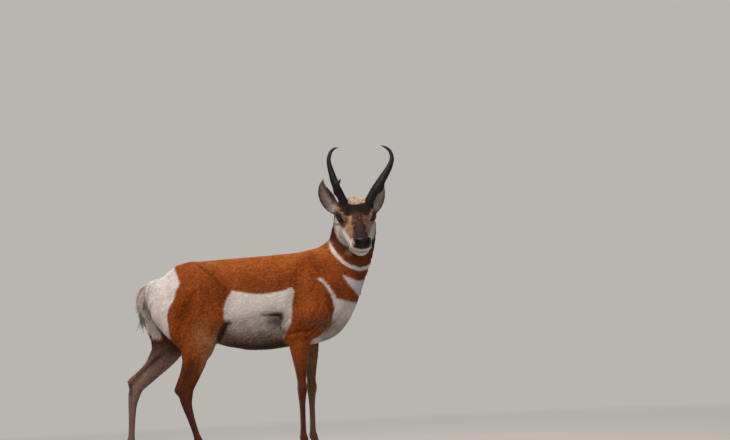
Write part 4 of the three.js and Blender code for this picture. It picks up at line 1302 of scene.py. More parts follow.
@dataclass
class EarShell:
    """One ear: a cupped leaf of skin, open to the front."""

    stations: Stations
    lean: float
    lateral_first: bool
    inset: float = 1.1
    wall: float = 3.0
    rows: int = 46
    arc: int = 20

    def build(self) -> tuple[Array, Array, Array, Array]:
        """Lofts the ear.

        Returns:
            Vertices, quads, place from base to tip, and place across: above nought outside, below it in the cup.
        """
        s = np.asarray(self.stations, float)
        index = np.arange(len(s))
        t = np.linspace(0, 1, self.rows + 1)
        at = t * (len(s) - 1)
        centre = np.stack([through(index, s[:, k], at) for k in range(3)], 1)
        half = through(index, s[:, 3], at)
        tangent = unit(np.gradient(centre, axis=0))
        back = unit(np.stack([self.lean * (1 - t), np.ones_like(t), np.zeros_like(t)], 1))
        wide = unit(np.cross(tangent, back))
        deep = unit(np.cross(wide, tangent))
        cup = half * 0.72
        thin = np.minimum(self.wall, half * 0.4)
        hollow = ramp(t, 0.1, 0.28)
        rings, turns = [], []
        for k in range(self.arc + 1):  # the back of the ear
            angle = math.pi * k / self.arc
            rings.append(((half - self.inset) * math.cos(angle), (cup - self.inset) * math.sin(angle)))
            turns.append(k / self.arc)
        for k in range(self.arc - 1, 0, -1):  # the cup
            angle = math.pi * k / self.arc
            depth = (cup - self.inset - thin) * math.sin(angle) * hollow
            depth = depth - (1 - hollow) * half * 0.55 * math.sin(angle)
            ruffle = 1.2 * math.sin(angle * 5) * hollow * math.sin(angle)
            rings.append(((half - self.inset - thin * 0.3) * math.cos(angle), depth + ruffle))
            turns.append(-k / self.arc)
        points = [centre + wide * a[:, None] + deep * (b - cup * 0.4)[:, None] for a, b in rings]
        points = np.stack(points, 1).reshape(-1, 3)
        around = 2 * self.arc
        turn = np.array(turns)
        if not self.lateral_first:
            turn = np.sign(turn) * (1 - np.abs(turn))
            turn[turn == 0] = 1e-3
        starts = np.arange(self.rows) * around
        quads = np.array([quad for start in starts for quad in ring_quads(start, start + around, around)])
        return points, quads, np.repeat(t, around), np.tile(turn, self.rows + 1)


def vertex_normals(points: Array, triangles: Array) -> Array:
    """Normals of a mesh's vertices, weighted by area.

    Args:
        points: the vertices.
        triangles: corners by number.

    Returns:
        One unit row for each vertex.
    """
    a, b, c = (points[triangles[:, k]] for k in range(3))
    face = np.cross(b - a, c - a)
    out = np.zeros_like(points)
    for k in range(3):
        np.add.at(out, triangles[:, k], face)
    return unit(out)


def triangles_of(faces: Faces) -> Array:
    """Faces of three or four corners as triangles.

    Args:
        faces: corners by number.

    Returns:
        Rows of three corners.
    """
    out = []
    for f in faces:
        out.append((f[0], f[1], f[2]))
        if len(f) == 4:
            out.append((f[0], f[2], f[3]))
    return np.array(out)


@dataclass
class Hide:
    """The whole skin in one piece, lying under the coat."""

    flesh: Flesh
    pitch: float = 7.0
    low: Triple = (-520, -240, 18)
    high: Triple = (650, 160, 1085)
    underfur: float = 0.7  # brightness of the skin and underfur against the coat
    spot: Spot = field(init=False)
    triangles: Array = field(init=False)
    uv: Array = field(init=False)
    made: Piece = field(init=False)

    def wrap(self) -> tuple[Array, list[list[int]]]:
        """The flesh's surface, finest about the eyes, nose and mouth.

        Returns:
            Vertices and faces.
        """
        whole = self.flesh.whole
        points, quads = surface_net(whole, self.low, self.high, self.pitch)
        points = settle(whole, points)

        def eye_gap(q: Array) -> Array:
            """How far points are from the nearer eye."""
            return np.minimum(*(np.linalg.norm(q - s.centre(), axis=1) for s in self.flesh.sockets))

        def head_or_foot(p: Array) -> Array:
            """Where the skin is halved once."""
            q = HEAD.enter(p)
            return ((from_skull(q) < 175) & (q @ SKULL_AXIS > -115)) | (p[:, 2] < 330)

        def eye_or_muzzle(p: Array) -> Array:
            """Where it is halved again."""
            q = HEAD.enter(p)
            return (eye_gap(q) < 36) | ((q[:, 0] > 92) & (from_skull(q) < 175))

        def eye(p: Array) -> Array:
            """Where it is halved a third time."""
            return eye_gap(HEAD.enter(p)) < 29

        faces: Any = quads
        for wanted in (head_or_foot, eye_or_muzzle, eye):
            settled = len(points)
            points, faces = refined(points, faces, wanted)
            points[settled:] = settle(whole, points[settled:])
        log.info("hide wrapped in %d faces", len(faces))
        return points, faces

    def build(self, ears: Sequence[EarShell]) -> None:
        """Makes the hide with its ears, its colours and its unwrap.

        Args:
            ears: the two ears, joined to the one skin.
        """
        points, faces = self.wrap()
        _, slope = gradient(self.flesh.whole, points, 1.2)
        normal = unit(slope)
        count = len(points)
        zeros = np.zeros(count)
        bare = Spot(points, normal, zeros, zeros, zeros)
        survey = Survey(self.flesh, bare)
        depth = survey.growth()[:, DEPTH]
        coarse = np.array([noise.noise(Vector(p * 0.013)) for p in points])
        trunk = (1 - survey.head) * ramp(points[:, 2], 330, 470)
        folds = sum(crease.press(bare) for crease in CREASES) * (1 - survey.head)
        depth = depth + folds + trunk * 1.6 * np.clip(0.5 + 1.2 * coarse, 0, 1)
        points = points - normal * depth[:, None]
        parts, along, turn = [zeros + BODY], [zeros], [zeros]
        all_points, all_faces, start = [points], [list(f) for f in faces], count
        for shell in ears:
            p, quads, t, a = shell.build()
            all_points.append(p)
            all_faces += (quads + start).tolist()
            all_faces.append(list(range(start, start + 2 * shell.arc))[::-1])
            top = start + len(p)
            all_faces.append(list(range(top - 2 * shell.arc, top)))
            parts.append(np.full(len(p), EAR))
            along.append(t)
            turn.append(a)
            start = top
        points = np.concatenate(all_points)
        self.triangles = triangles_of([f for f in all_faces if len(f) <= 4])
        normal = vertex_normals(points, self.triangles)
        self.spot = Spot(points, normal, np.concatenate(parts), np.concatenate(along), np.concatenate(turn))
        self.made = mesh_object("hide", points, all_faces)
        survey = Survey(self.flesh, self.spot)
        give(self.made, "coat_colour", survey.colour() * self.underfur)
        give(self.made, "lid", np.maximum(survey.lid, 0.6 * survey.mouth))
        give(self.made, "nose", survey.nose)
        self.unwrap()

    def unwrap(self) -> None:
        """Unfolds the hide into charts and keeps each triangle's corners."""
        bpy.context.view_layer.objects.active = self.made
        self.made.select_set(True)
        self.made.data.uv_layers.new(name="OFBake")
        bpy.ops.object.mode_set(mode="EDIT")
        bpy.ops.mesh.select_all(action="SELECT")
        bpy.ops.uv.smart_project(angle_limit=math.radians(66), island_margin=0.001)
        bpy.ops.object.mode_set(mode="OBJECT")
        self.made.select_set(False)
        data = self.made.data
        data.calc_loop_triangles()
        self.triangles = np.zeros(len(data.loop_triangles) * 3, np.int32)
        data.loop_triangles.foreach_get("vertices", self.triangles)
        loops = np.zeros_like(self.triangles)
        data.loop_triangles.foreach_get("loops", loops)
        flat = np.zeros(len(data.loops) * 2, np.float32)
        data.uv_layers["OFBake"].uv.foreach_get("vector", flat)
        self.triangles = self.triangles.reshape(-1, 3)
        self.uv = flat.reshape(-1, 2)[loops].reshape(-1, 3, 2)


@dataclass
class Coat:
    """Tufts of hair as thin solid blades, rooted in the hide."""

    hide: Hide
    flesh: Flesh
    patch: float = 0.003
    root_sunk: float = 1.0
    short: float = 18.0  # tufts from this length on are bent in two
    lowest: float = 36.0  # no tufts grow below this height, where the hooves begin
    most_in_piece: int = 190000
    seed: int = 7

    def roots(self) -> tuple[Spot, Array, Array]:
        """Scatters roots over the hide, as close together as the growth there asks.

        Returns:
            The roots, their growth rows and their places on the unwrap.
        """
        rng = np.random.default_rng(self.seed)
        spot, tri = self.hide.spot, self.hide.triangles
        growth = Survey(self.flesh, spot).growth()
        a, b, c = (spot.p[tri[:, k]] for k in range(3))
        area = np.linalg.norm(np.cross(b - a, c - a), axis=1) / 2
        spacing = growth[tri, SPACING].mean(1)
        hidden = spot.p[tri].mean(1)[:, 2] < self.lowest
        weight = np.where(hidden | (spacing > WIDEST_SPACING), 0, area / spacing ** 2)
        ends = np.cumsum(weight)
        marks = np.arange(int(ends[-1])) + rng.random(int(ends[-1]))
        face = np.searchsorted(ends, marks)
        u, v = rng.random((2, len(face)))
        over = u + v > 1
        u[over], v[over] = 1 - u[over], 1 - v[over]
        share = np.stack([1 - u - v, u, v], 1)
        corner = tri[face]

        def mix(values: Array) -> Array:
            """Values at the roots from those at their triangles' corners."""
            return np.einsum("ij,ij...->i...", share, values[corner])

        part = spot.part[corner[:, 0]]
        picked = Spot(mix(spot.p), unit(mix(spot.n)), part, mix(spot.along), mix(spot.turn))
        return picked, mix(growth), np.einsum("ij,ijk->ik", share, self.hide.uv[face])

    def regions(self, survey: Survey) -> list[tuple[str, Array]]:
        """Sorts the roots into pieces.

        Args:
            survey: the roots' measures.

        Returns:
            Each piece's name and which roots are its own.
        """
        s = survey
        head, ear = s.head > 0.5, s.ear > 0.5
        right = s.y < 0
        rest = ~head & ~ear
        out = [("coat_head_right", head & (s.q[:, 2] < 0)), ("coat_head_left", head & (s.q[:, 2] >= 0))]
        out += [("coat_ear_right", ear & (s.x < BETWEEN_EARS)), ("coat_ear_left", ear & (s.x >= BETWEEN_EARS))]
        tail = rest & (s.tail > 0.5)
        leg = rest & ~tail & (s.z < 480) & (s.leg > 0.5)
        front = s.x > 60
        for name, mask in (("fore", front), ("hind", ~front)):
            out += [(f"coat_{name}_leg_right", leg & mask & right), (f"coat_{name}_leg_left", leg & mask & ~right)]
        body = rest & ~tail & ~leg
        neck, rump = body & (s.neck > 0.5), body & (s.rump > 0.5)
        torso = body & ~neck & ~rump
        out += [("coat_tail", tail), ("coat_neck", neck), ("coat_rump", rump & ~neck)]
        return out + [("coat_torso_right", torso & right), ("coat_torso_left", torso & ~right)]

    def build(self) -> list[Piece]:
        """Grows every tuft and joins them into pieces.

        Returns:
            The coat's pieces.
        """
        rng = np.random.default_rng(self.seed + 1)
        spot, growth, uv = self.roots()
        survey = Survey(self.flesh, spot)
        lie = self.lay(spot, survey, growth, rng)
        shown = Spot(spot.p + lie * growth[:, [LENGTH]] * 0.5, spot.n, spot.part, spot.along, spot.turn)
        colour = Survey(self.flesh, shown).colour(rng.normal(0, 2.0, len(spot.p)))
        pale = ramp(colour[:, 2], 0.05, 0.3)
        bright = 1 + (survey.streaks() - 1) * (1 - 0.5 * pale * (survey.z > 600)) + rng.normal(0, 0.28 - 0.2 * pale)
        colour *= bright[:, None].clip(0.45, 1.6)
        log.info("coat of %d tufts", len(spot.p))
        pieces = []
        for name, mask in self.regions(survey):
            rows = np.nonzero(mask)[0]
            rows = rows[np.argsort(spot.p[rows, 0], kind="stable")]
            faces_each = np.where(growth[rows, LENGTH] < self.short, 4, 10)
            parts = max(1, math.ceil(faces_each.sum() / self.most_in_piece))
            for k, chosen in enumerate(np.array_split(rows, parts)):
                if len(chosen):
                    full = name if parts == 1 else f"{name}_{k + 1}"
                    here = (values[chosen] for values in (growth, lie, colour, uv))
                    pieces.append(self.grow(full, spot.picked(chosen), *here, rng))
        return pieces

    def lay(self, spot: Spot, survey: Survey, growth: Array, rng: np.random.Generator) -> Array:
        """Lays the tufts down along the skin, with some straying.

        Args:
            spot: the roots.
            survey: their measures.
            growth: their growth rows.
            rng: the coat's own random draw.

        Returns:
            The way each tuft runs.
        """
        way = survey.lie()
        ear = spot.part == EAR
        if ear.any():
            right = (spot.p[:, 0] < BETWEEN_EARS)[:, None]
            up = unit(np.where(right, (-0.35, 0, 1.0), (0.35, 0, 1.0)))
            inner = ear & (spot.turn < 0)
            way[ear] = up[ear]
            across = np.where(right, (1.0, 0, 0.6), (-1.0, 0, 0.6))
            way[inner] = across[inner]
        n = spot.n
        way = unit(way - n * (way * n).sum(1, keepdims=True) + 1e-6)
        side = np.cross(n, way)
        swirl = np.array([noise.noise(Vector(p * 0.021)) for p in spot.p]) * 0.30
        turn = swirl + np.radians(growth[:, STRAY]) * rng.normal(0, 1, len(n))
        return unit(way * np.cos(turn)[:, None] + side * np.sin(turn)[:, None])

    def grow(
        self, name: str, spot: Spot, growth: Array, lie: Array, colour: Array, uv: Array, rng: np.random.Generator
    ) -> Piece:
        """Makes one piece of coat.

        Args:
            name: the piece's name.
            spot: the roots.
            growth: their growth rows.
            lie: the way each tuft runs.
            colour: each tuft's colour.
            uv: each root's place on the unwrap.
            rng: the coat's own random draw.

        Returns:
            The joined tufts.
        """
        n, p = spot.n, spot.p
        side = np.cross(n, lie)
        length = growth[:, LENGTH] * rng.uniform(0.75, 1.2, len(p))
        width = growth[:, WIDTH] * rng.uniform(0.8, 1.25, len(p)) / 2
        lift = np.radians(growth[:, LIFT] * rng.uniform(0.5, 1.6, len(p)))
        bulk = width * 0.5

        def at(share: float, bend: float) -> Array:
            """A place along each tuft, bent up from the skin."""
            angle = lift * bend
            return p + (length * share)[:, None] * (lie * np.cos(angle)[:, None] + n * np.sin(angle)[:, None])

        def ring(centre: Array, scale: float) -> list[Array]:
            """The three corners of each tuft's section."""
            w, h = (width * scale)[:, None], (bulk * scale)[:, None]
            return [centre - side * w, centre + side * w, centre + n * h]

        root = p - n * self.root_sunk
        tip = at(1.0, 0.85)
        two = growth[:, LENGTH] >= self.short
        groups = []
        if (~two).any():
            rows = [v[~two] for v in ring(root, 1)] + [tip[~two]]
            faces = np.array([(0, 2, 1), (0, 1, 3), (1, 2, 3), (2, 0, 3)])
            groups.append((rows, faces, ~two, [0, 0, 0, 1], [-1, 1, 0, 0]))
        if two.any():
            rows = [v[two] for v in ring(root, 0.9)] + [v[two] for v in ring(at(0.5, 1.25), 0.85)] + [tip[two]]
            faces = [(0, 2, 1)]
            for a, b in ((0, 1), (1, 2), (2, 0)):
                faces += [(a, b, b + 3), (a, b + 3, a + 3), (a + 3, b + 3, 6)]
            groups.append((rows, np.array(faces), two, [0, 0, 0, 0.5, 0.5, 0.5, 1], [-1, 1, 0, -0.8, 0.8, 0, 0]))
        points, tris, normals, shades, places = [], [], [], [], []
        start = 0
        for rows, faces, mask, along, across in groups:
            block = np.stack(rows, 1)
            count, per = block.shape[:2]
            points.append(block.reshape(-1, 3))
            tris.append((faces[None] + (np.arange(count) * per)[:, None, None] + start).reshape(-1, 3))
            start += count * per
            out = block - block.mean(1, keepdims=True)
            out -= lie[mask][:, None] * (out * lie[mask][:, None]).sum(2, keepdims=True)
            mixed = unit(n[mask][:, None] * 0.75 + unit(out) * 0.35)
            normals.append(mixed.reshape(-1, 3))
            along, across = np.array(along), np.array(across)
            shade = 0.58 + 0.52 * along
            shades.append((colour[mask][:, None] * shade[None, :, None]).reshape(-1, 3))
            local = np.stack([across, along * 2 - 1], 1) * self.patch / 2
            places.append((uv[mask][:, None] + local[None]).reshape(-1, 2))
        tris_all = np.concatenate(tris)
        made = mesh_object(name, np.concatenate(points), tris_all)
        give(made, "coat_colour", np.concatenate(shades))
        layer = made.data.uv_layers.new(name="OFBake")
        corner = np.zeros(len(made.data.loops), np.int32)
        made.data.loops.foreach_get("vertex_index", corner)
        layer.uv.foreach_set("vector", np.concatenate(places)[corner].clip(0.0005, 0.9995).astype(np.float32).ravel())
        made.data.normals_split_custom_set_from_vertices(np.concatenate(normals))
        log.info("%s: %d triangles", name, len(made.data.polygons))
        return made


def add_node(tree: Tree, kind: str, settings: dict[str, Any], **links: Socket) -> Node:
    """Adds one shader node.

    Args:
        tree: the material's tree.
        kind: the shader node's type.
        settings: its properties, and its sockets' values by name or number after an "in:".
        links: sockets that feed it, by input name with _ for a space, or i and a number.

    Returns:
        The node.
    """
    made = tree.nodes.new("ShaderNode" + kind)
    for key, value in settings.items():
        if key.startswith("in:"):
            name = key[3:]
            made.inputs[int(name) if name.isdigit() else name].default_value = value
        else:
            setattr(made, key, value)
    for key, socket in links.items():
        target = int(key[1:]) if key[0] == "i" and key[1:].isdigit() else key.replace("_", " ")
        tree.links.new(socket, made.inputs[target])
    return made


def new_material(name: str) -> tuple[Material, Tree, Node]:
    """An empty material.

    Args:
        name: the real material's name.

    Returns:
        It, its tree and its surface shader.
    """
    made = bpy.data.materials.new(name)
    made.use_nodes = True
    tree = made.node_tree
    return made, tree, tree.nodes["Principled BSDF"]


def rgba(colour: Array) -> tuple[float, float, float, float]:
    """A linear colour with full alpha."""
    return (float(colour[0]), float(colour[1]), float(colour[2]), 1.0)


@dataclass(frozen=True)
class HairFinish:
    """Hollow, brittle guard hair of a pronghorn: matt, with a soft sheen where many tips line up."""

    name: str = "pronghorn guard hair"
    roughness: float = 0.72
    sheen: float = 0.05
    patch_mm: float = 8.0

    def make(self) -> Material:
        """Builds the material from the tufts' own colours.

        Returns:
            Hair.
        """
        made, tree, surface = new_material(self.name)
        hair = add_node(tree, "Attribute", {"attribute_name": "coat_colour"})
        place = add_node(tree, "TexCoord", {})
        mottle = add_node(
            tree, "TexNoise", {"in:Scale": 1000 / self.patch_mm, "in:Detail": 3.0},
            Vector=place.outputs["Object"],
        )
        tone = add_node(
            tree, "MapRange", {"in:From Min": 0.36, "in:From Max": 0.64, "in:To Min": -0.42, "in:To Max": 0.4},
            Value=mottle.outputs["Fac"],
        )
        calm = add_node(  # pale hair is mottled less
            tree, "MapRange", {"in:From Min": 0.1, "in:From Max": 0.5, "in:To Min": 1.0, "in:To Max": 0.2},
            Value=hair.outputs["Fac"],
        )
        wave = add_node(
            tree, "Math", {"operation": "MULTIPLY_ADD", "in:2": 1.0},
            i0=tone.outputs["Result"], i1=calm.outputs["Result"],
        )
        mixed = add_node(
            tree, "VectorMath", {"operation": "SCALE"}, i0=hair.outputs["Color"], Scale=wave.outputs["Value"]
        )
        tree.links.new(mixed.outputs["Vector"], surface.inputs["Base Color"])
        surface.inputs["Roughness"].default_value = self.roughness
        surface.inputs["IOR"].default_value = 1.55
        surface.inputs["Specular IOR Level"].default_value = 0.1
        surface.inputs["Sheen Weight"].default_value = self.sheen
        surface.inputs["Sheen Roughness"].default_value = 0.45
        return made


@dataclass(frozen=True)
class HideFinish:
    """Skin with its underfur, and the bare, faintly moist skin of nose and lids."""

    name: str = "pronghorn hide and underfur"
    hair_mm: float = 2.6
    pebble_mm: float = 2.2
    fur_roughness: float = 0.85
    bare_roughness: float = 0.38

    def make(self) -> Material:
        """Builds the material from the hide's own colours.

        Returns:
            Skin with underfur, lids and nose.
        """
        made, tree, surface = new_material(self.name)
        skin = add_node(tree, "Attribute", {"attribute_name": "coat_colour"})
        lid = add_node(tree, "Attribute", {"attribute_name": "lid"})
        nose = add_node(tree, "Attribute", {"attribute_name": "nose"})
        place = add_node(tree, "TexCoord", {})
        bare = add_node(tree, "Math", {"operation": "MAXIMUM"}, i0=lid.outputs["Fac"], i1=nose.outputs["Fac"])
        hairs = add_node(
            tree, "TexNoise", {"in:Scale": 1000 / self.hair_mm, "in:Detail": 4.0, "in:Roughness": 0.6},
            Vector=place.outputs["Object"],
        )
        pebbles = add_node(
            tree, "TexVoronoi", {"in:Scale": 1000 / self.pebble_mm}, Vector=place.outputs["Object"]
        )
        tone = add_node(
            tree, "MapRange", {"in:From Min": 0.3, "in:From Max": 0.7, "in:To Min": 0.72, "in:To Max": 1.1},
            Value=hairs.outputs["Fac"],
        )
        mixed = add_node(
            tree, "VectorMath", {"operation": "SCALE"}, i0=skin.outputs["Color"], Scale=tone.outputs["Result"]
        )
        rough = add_node(
            tree, "MapRange", {"in:To Min": self.fur_roughness, "in:To Max": self.bare_roughness},
            Value=bare.outputs["Value"],
        )
        height = add_node(
            tree, "Mix", {"data_type": "FLOAT"}, i0=nose.outputs["Fac"], i2=hairs.outputs["Fac"],
            i3=pebbles.outputs["Distance"],
        )
        bump = add_node(
            tree, "Bump", {"in:Strength": 0.5, "in:Distance": 0.0009}, Height=height.outputs["Result"]
        )
        tree.links.new(mixed.outputs["Vector"], surface.inputs["Base Color"])
        tree.links.new(rough.outputs["Result"], surface.inputs["Roughness"])
        tree.links.new(bump.outputs["Normal"], surface.inputs["Normal"])
        surface.inputs["IOR"].default_value = 1.45
        surface.inputs["Specular IOR Level"].default_value = 0.32
        return made


@dataclass(frozen=True)
class KeratinFinish:
    """Horn or hoof: dense keratin, its fibres or growth rings showing as fine ridges in a satin surface."""

    name: str
    dark: str
    light: str
    stretch_mm: Triple
    roughness: tuple[float, float]
    relief_mm: float
    blotch_mm: float = 22.0

    def make(self) -> Material:
        """Builds the material with fibres stretched along one way.

        Returns:
            Keratin.
        """
        made, tree, surface = new_material(self.name)
        place = add_node(tree, "TexCoord", {})
        scale = tuple(1000 / s for s in self.stretch_mm)
        fibre_place = add_node(tree, "Mapping", {"in:Scale": scale}, Vector=place.outputs["Object"])
        fibres = add_node(
            tree, "TexNoise", {"in:Scale": 1.0, "in:Detail": 5.0, "in:Roughness": 0.62},
            Vector=fibre_place.outputs["Vector"],
        )
        blotch = add_node(
            tree, "TexNoise", {"in:Scale": 1000 / self.blotch_mm, "in:Detail": 3.0},
            Vector=place.outputs["Object"],
        )
        both = add_node(
            tree, "Mix", {"data_type": "FLOAT", "in:0": 0.4},
            i2=fibres.outputs["Fac"], i3=blotch.outputs["Fac"],
        )
        tone = add_node(
            tree, "MapRange", {"in:From Min": 0.4, "in:From Max": 0.66}, Value=both.outputs["Result"]
        )
        ends = {"in:6": rgba(linear(self.dark)), "in:7": rgba(linear(self.light))}
        colour = add_node(tree, "Mix", {"data_type": "RGBA", **ends}, i0=tone.outputs["Result"])
        rough = add_node(
            tree, "MapRange", {"in:To Min": self.roughness[0], "in:To Max": self.roughness[1]},
            Value=blotch.outputs["Fac"],
        )
        bump = add_node(
            tree, "Bump", {"in:Strength": 0.7, "in:Distance": self.relief_mm / 1000},
            Height=fibres.outputs["Fac"],
        )
        tree.links.new(colour.outputs[2], surface.inputs["Base Color"])
        tree.links.new(rough.outputs["Result"], surface.inputs["Roughness"])
        tree.links.new(bump.outputs["Normal"], surface.inputs["Normal"])
        surface.inputs["IOR"].default_value = 1.54
        surface.inputs["Specular IOR Level"].default_value = 0.28
        return made


@dataclass(frozen=True)
class EyeFinish:
    """A wet eye: dark iris under a clear cornea that gives sharp highlights."""

    name: str = "wet eye of a pronghorn"
    fibre_mm: float = 1.2

    def make(self) -> Material:
        """Builds the material from the ball's own colours.

        Returns:
            The wet eye.
        """
        made, tree, surface = new_material(self.name)
        iris = add_node(tree, "Attribute", {"attribute_name": "iris_colour"})
        place = add_node(tree, "TexCoord", {})
        fibres = add_node(tree, "TexNoise", {"in:Scale": 1000 / self.fibre_mm}, Vector=place.outputs["Object"])
        tone = add_node(tree, "MapRange", {"in:To Min": 0.6, "in:To Max": 1.4}, Value=fibres.outputs["Fac"])
        mixed = add_node(
            tree, "VectorMath", {"operation": "SCALE"}, i0=iris.outputs["Color"], Scale=tone.outputs["Result"]
        )
        tree.links.new(mixed.outputs["Vector"], surface.inputs["Base Color"])
        surface.inputs["Roughness"].default_value = 0.12
        surface.inputs["IOR"].default_value = 1.38
        surface.inputs["Coat Weight"].default_value = 1.0
        surface.inputs["Coat Roughness"].default_value = 0.03
        return made


HORN_KERATIN = KeratinFinish("pronghorn horn sheath", "#040203", "#190e0d", (5, 5, 26), (0.5, 0.75), 1.1)
HOOF_KERATIN = KeratinFinish("hoof keratin", "#100e0e", "#2b2523", (30, 30, 3), (0.35, 0.6), 0.6)


@dataclass
class Horn:
    """One forked horn sheath, ridged at its base and smooth at its tips."""

    side: Side
    pitch: float = 3.2
    relief: float = 1.5
    turn: float = 0.16  # of the flat section about the upright, in radians
    fork_station: int = 4
    foot: float = 985.0  # height at which the sheath ends, inside the crown

    def build(self, finish: Material) -> Piece:
        """Wraps the horn and roughens its base.

        Args:
            finish: its keratin.

        Returns:
            The sheath.
        """
        stations = HORN_LEFT if self.side is Side.LEFT else HORN_RIGHT
        flat = np.array([math.cos(self.turn), math.sin(self.turn), 0.0])
        fork = stations[self.fork_station]
        prong = [(fork[0] + x, fork[1] + y, fork[2] + z, d, w) for x, y, z, d, w in PRONG]
        main_field, prong_field = Sweep(stations, flat, margin=40), Sweep(prong, flat, margin=40)

        def shape(p: Array) -> Array:
            """Stem and prong in one."""
            return smooth_union(main_field(p), prong_field(p), 9)

        low = np.minimum(main_field.low, prong_field.low) + 30
        high = np.maximum(main_field.high, prong_field.high) - 30
        low[2] = self.foot
        points, quads = surface_net(shape, low, high, self.pitch)
        points = settle(shape, points)
        _, slope = gradient(shape, points, 1.0)
        rough = ramp(points[:, 2], 1215, 1090)
        ridges = points * (0.14, 0.14, 0.028)
        coarse = np.array([noise.fractal(Vector(p), 0.8, 2.0, 4) for p in ridges])
        knobs = np.array([noise.noise(Vector(p * 0.16)) for p in points])
        cut = self.relief * (0.35 + 0.65 * rough) * (0.5 - 0.5 * np.clip(coarse * 1.6 + 0.6 * rough * knobs, -1, 1))
        points = points - unit(slope) * cut[:, None]
        word = self.side.name.lower()
        made = mesh_object(f"horn_sheath_{word}", points, quads)
        made.data.materials.append(finish)
        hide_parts(f"horn_{word}")
        return made


@dataclass
class Eye:
    """One eyeball with its cornea, and the lashes of its upper lid."""

    socket: EyeSocket
    around: int = 56
    rings: int = 40
    bulge: float = 0.8
    lashes: int = 24
    lash_length: float = 15.0
    rim_colour: str = "#0c0706"
    iris_colour: str = "#170c08"
    pupil_colour: str = "#040304"
    lash_colour: str = "#0a0707"

    def ball(self, finish: Material) -> Piece:
        """Builds the ball round the line of gaze.

        Args:
            finish: the wet eye's material.

        Returns:
            The ball.
        """
        forward, up, gaze = self.socket.axes()
        polar = np.linspace(0, math.pi, self.rings + 1)[1:-1]
        angle = np.arange(self.around) * 2 * math.pi / self.around
        a, b = np.meshgrid(polar, angle, indexing="ij")
        radius = EYE_RADIUS - BALL_INSET + self.bulge * ramp(a, math.radians(34), math.radians(12))
        spoke = np.cos(b)[..., None] * forward + np.sin(b)[..., None] * up
        ray = np.sin(a)[..., None] * spoke + np.cos(a)[..., None] * gaze
        points = (ray * radius[..., None]).reshape(-1, 3)
        ends = np.array([gaze * (EYE_RADIUS - BALL_INSET + self.bulge), -gaze * (EYE_RADIUS - BALL_INSET)])
        points = HEAD.leave(np.concatenate([points, ends]) + self.socket.centre())
        top, last = len(polar) * self.around, (len(polar) - 1) * self.around
        faces = []
        for i in range(len(polar) - 1):
            faces += ring_quads(i * self.around, (i + 1) * self.around, self.around)
        for k in range(self.around):
            n = (k + 1) % self.around
            faces += [[top, k, n], [top + 1, last + n, last + k]]
        if self.socket.side is Side.RIGHT:
            faces = [f[::-1] for f in faces]
        word = self.socket.side.name.lower()
        made = mesh_object(f"eyeball_{word}", points, faces)
        polar_all = np.concatenate([a.ravel(), [0, math.pi]])
        angle_all = np.concatenate([b.ravel(), [0, 0]])
        wide, tall = polar_all * np.cos(angle_all), polar_all * np.sin(angle_all)
        pupil = ramp(np.hypot(wide / 0.46, tall / 0.24), 1.06, 0.9)[:, None]
        iris = ramp(polar_all, 0.82, 0.72)[:, None]
        colour = linear(self.rim_colour) * (1 - iris) + linear(self.iris_colour) * iris
        give(made, "iris_colour", colour * (1 - pupil) + linear(self.pupil_colour) * pupil)
        made.data.materials.append(finish)
        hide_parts(f"eye_{word}")
        return made

    def lash_row(self, finish: Material, rng: np.random.Generator) -> Piece:
        """Builds the upper lashes as curved, tapering hairs.

        Args:
            finish: the hair's material.
            rng: the lashes' own random draw.

        Returns:
            All of one eye's lashes.
        """
        points, faces = [], []
        forward, up, gaze = self.socket.axes()
        for k in range(self.lashes):
            angle = math.radians(14 + 150 * (k + rng.uniform(-0.3, 0.3)) / (self.lashes - 1))
            root = self.socket.rim(angle, EYE_RADIUS + 1.6)
            out = unit(gaze * 0.8 + up * 0.45 + forward * math.cos(angle) * 0.55)
            length = self.lash_length * rng.uniform(0.75, 1.1) * (0.65 + 0.35 * math.sin(angle))
            start = len(points)
            side = unit(np.cross(out, up))
            over = unit(np.cross(side, out))
            steps = 4
            for i in range(steps):
                t = i / steps
                middle = root + out * length * t + up * length * (0.28 * t * t - 0.12 * t)
                size = 0.42 * (1 - 0.8 * t)
                for j in range(3):
                    turn = 2 * math.pi * j / 3
                    points.append(middle + side * size * math.cos(turn) + over * size * math.sin(turn))
            points.append(root + out * length + up * length * 0.16)
            faces.append([start, start + 2, start + 1])
            for i in range(steps - 1):
                faces += ring_quads(start + i * 3, start + (i + 1) * 3, 3, turned=True)
            last = start + (steps - 1) * 3
            faces += [[last + j, last + (j + 1) % 3, last + 3] for j in range(3)]
        word = self.socket.side.name.lower()
        made = mesh_object(f"lashes_{word}", HEAD.leave(np.array(points)), faces)
        give(made, "coat_colour", np.tile(linear(self.lash_colour), (len(points), 1)))
        made.data.materials.append(finish)
        return made


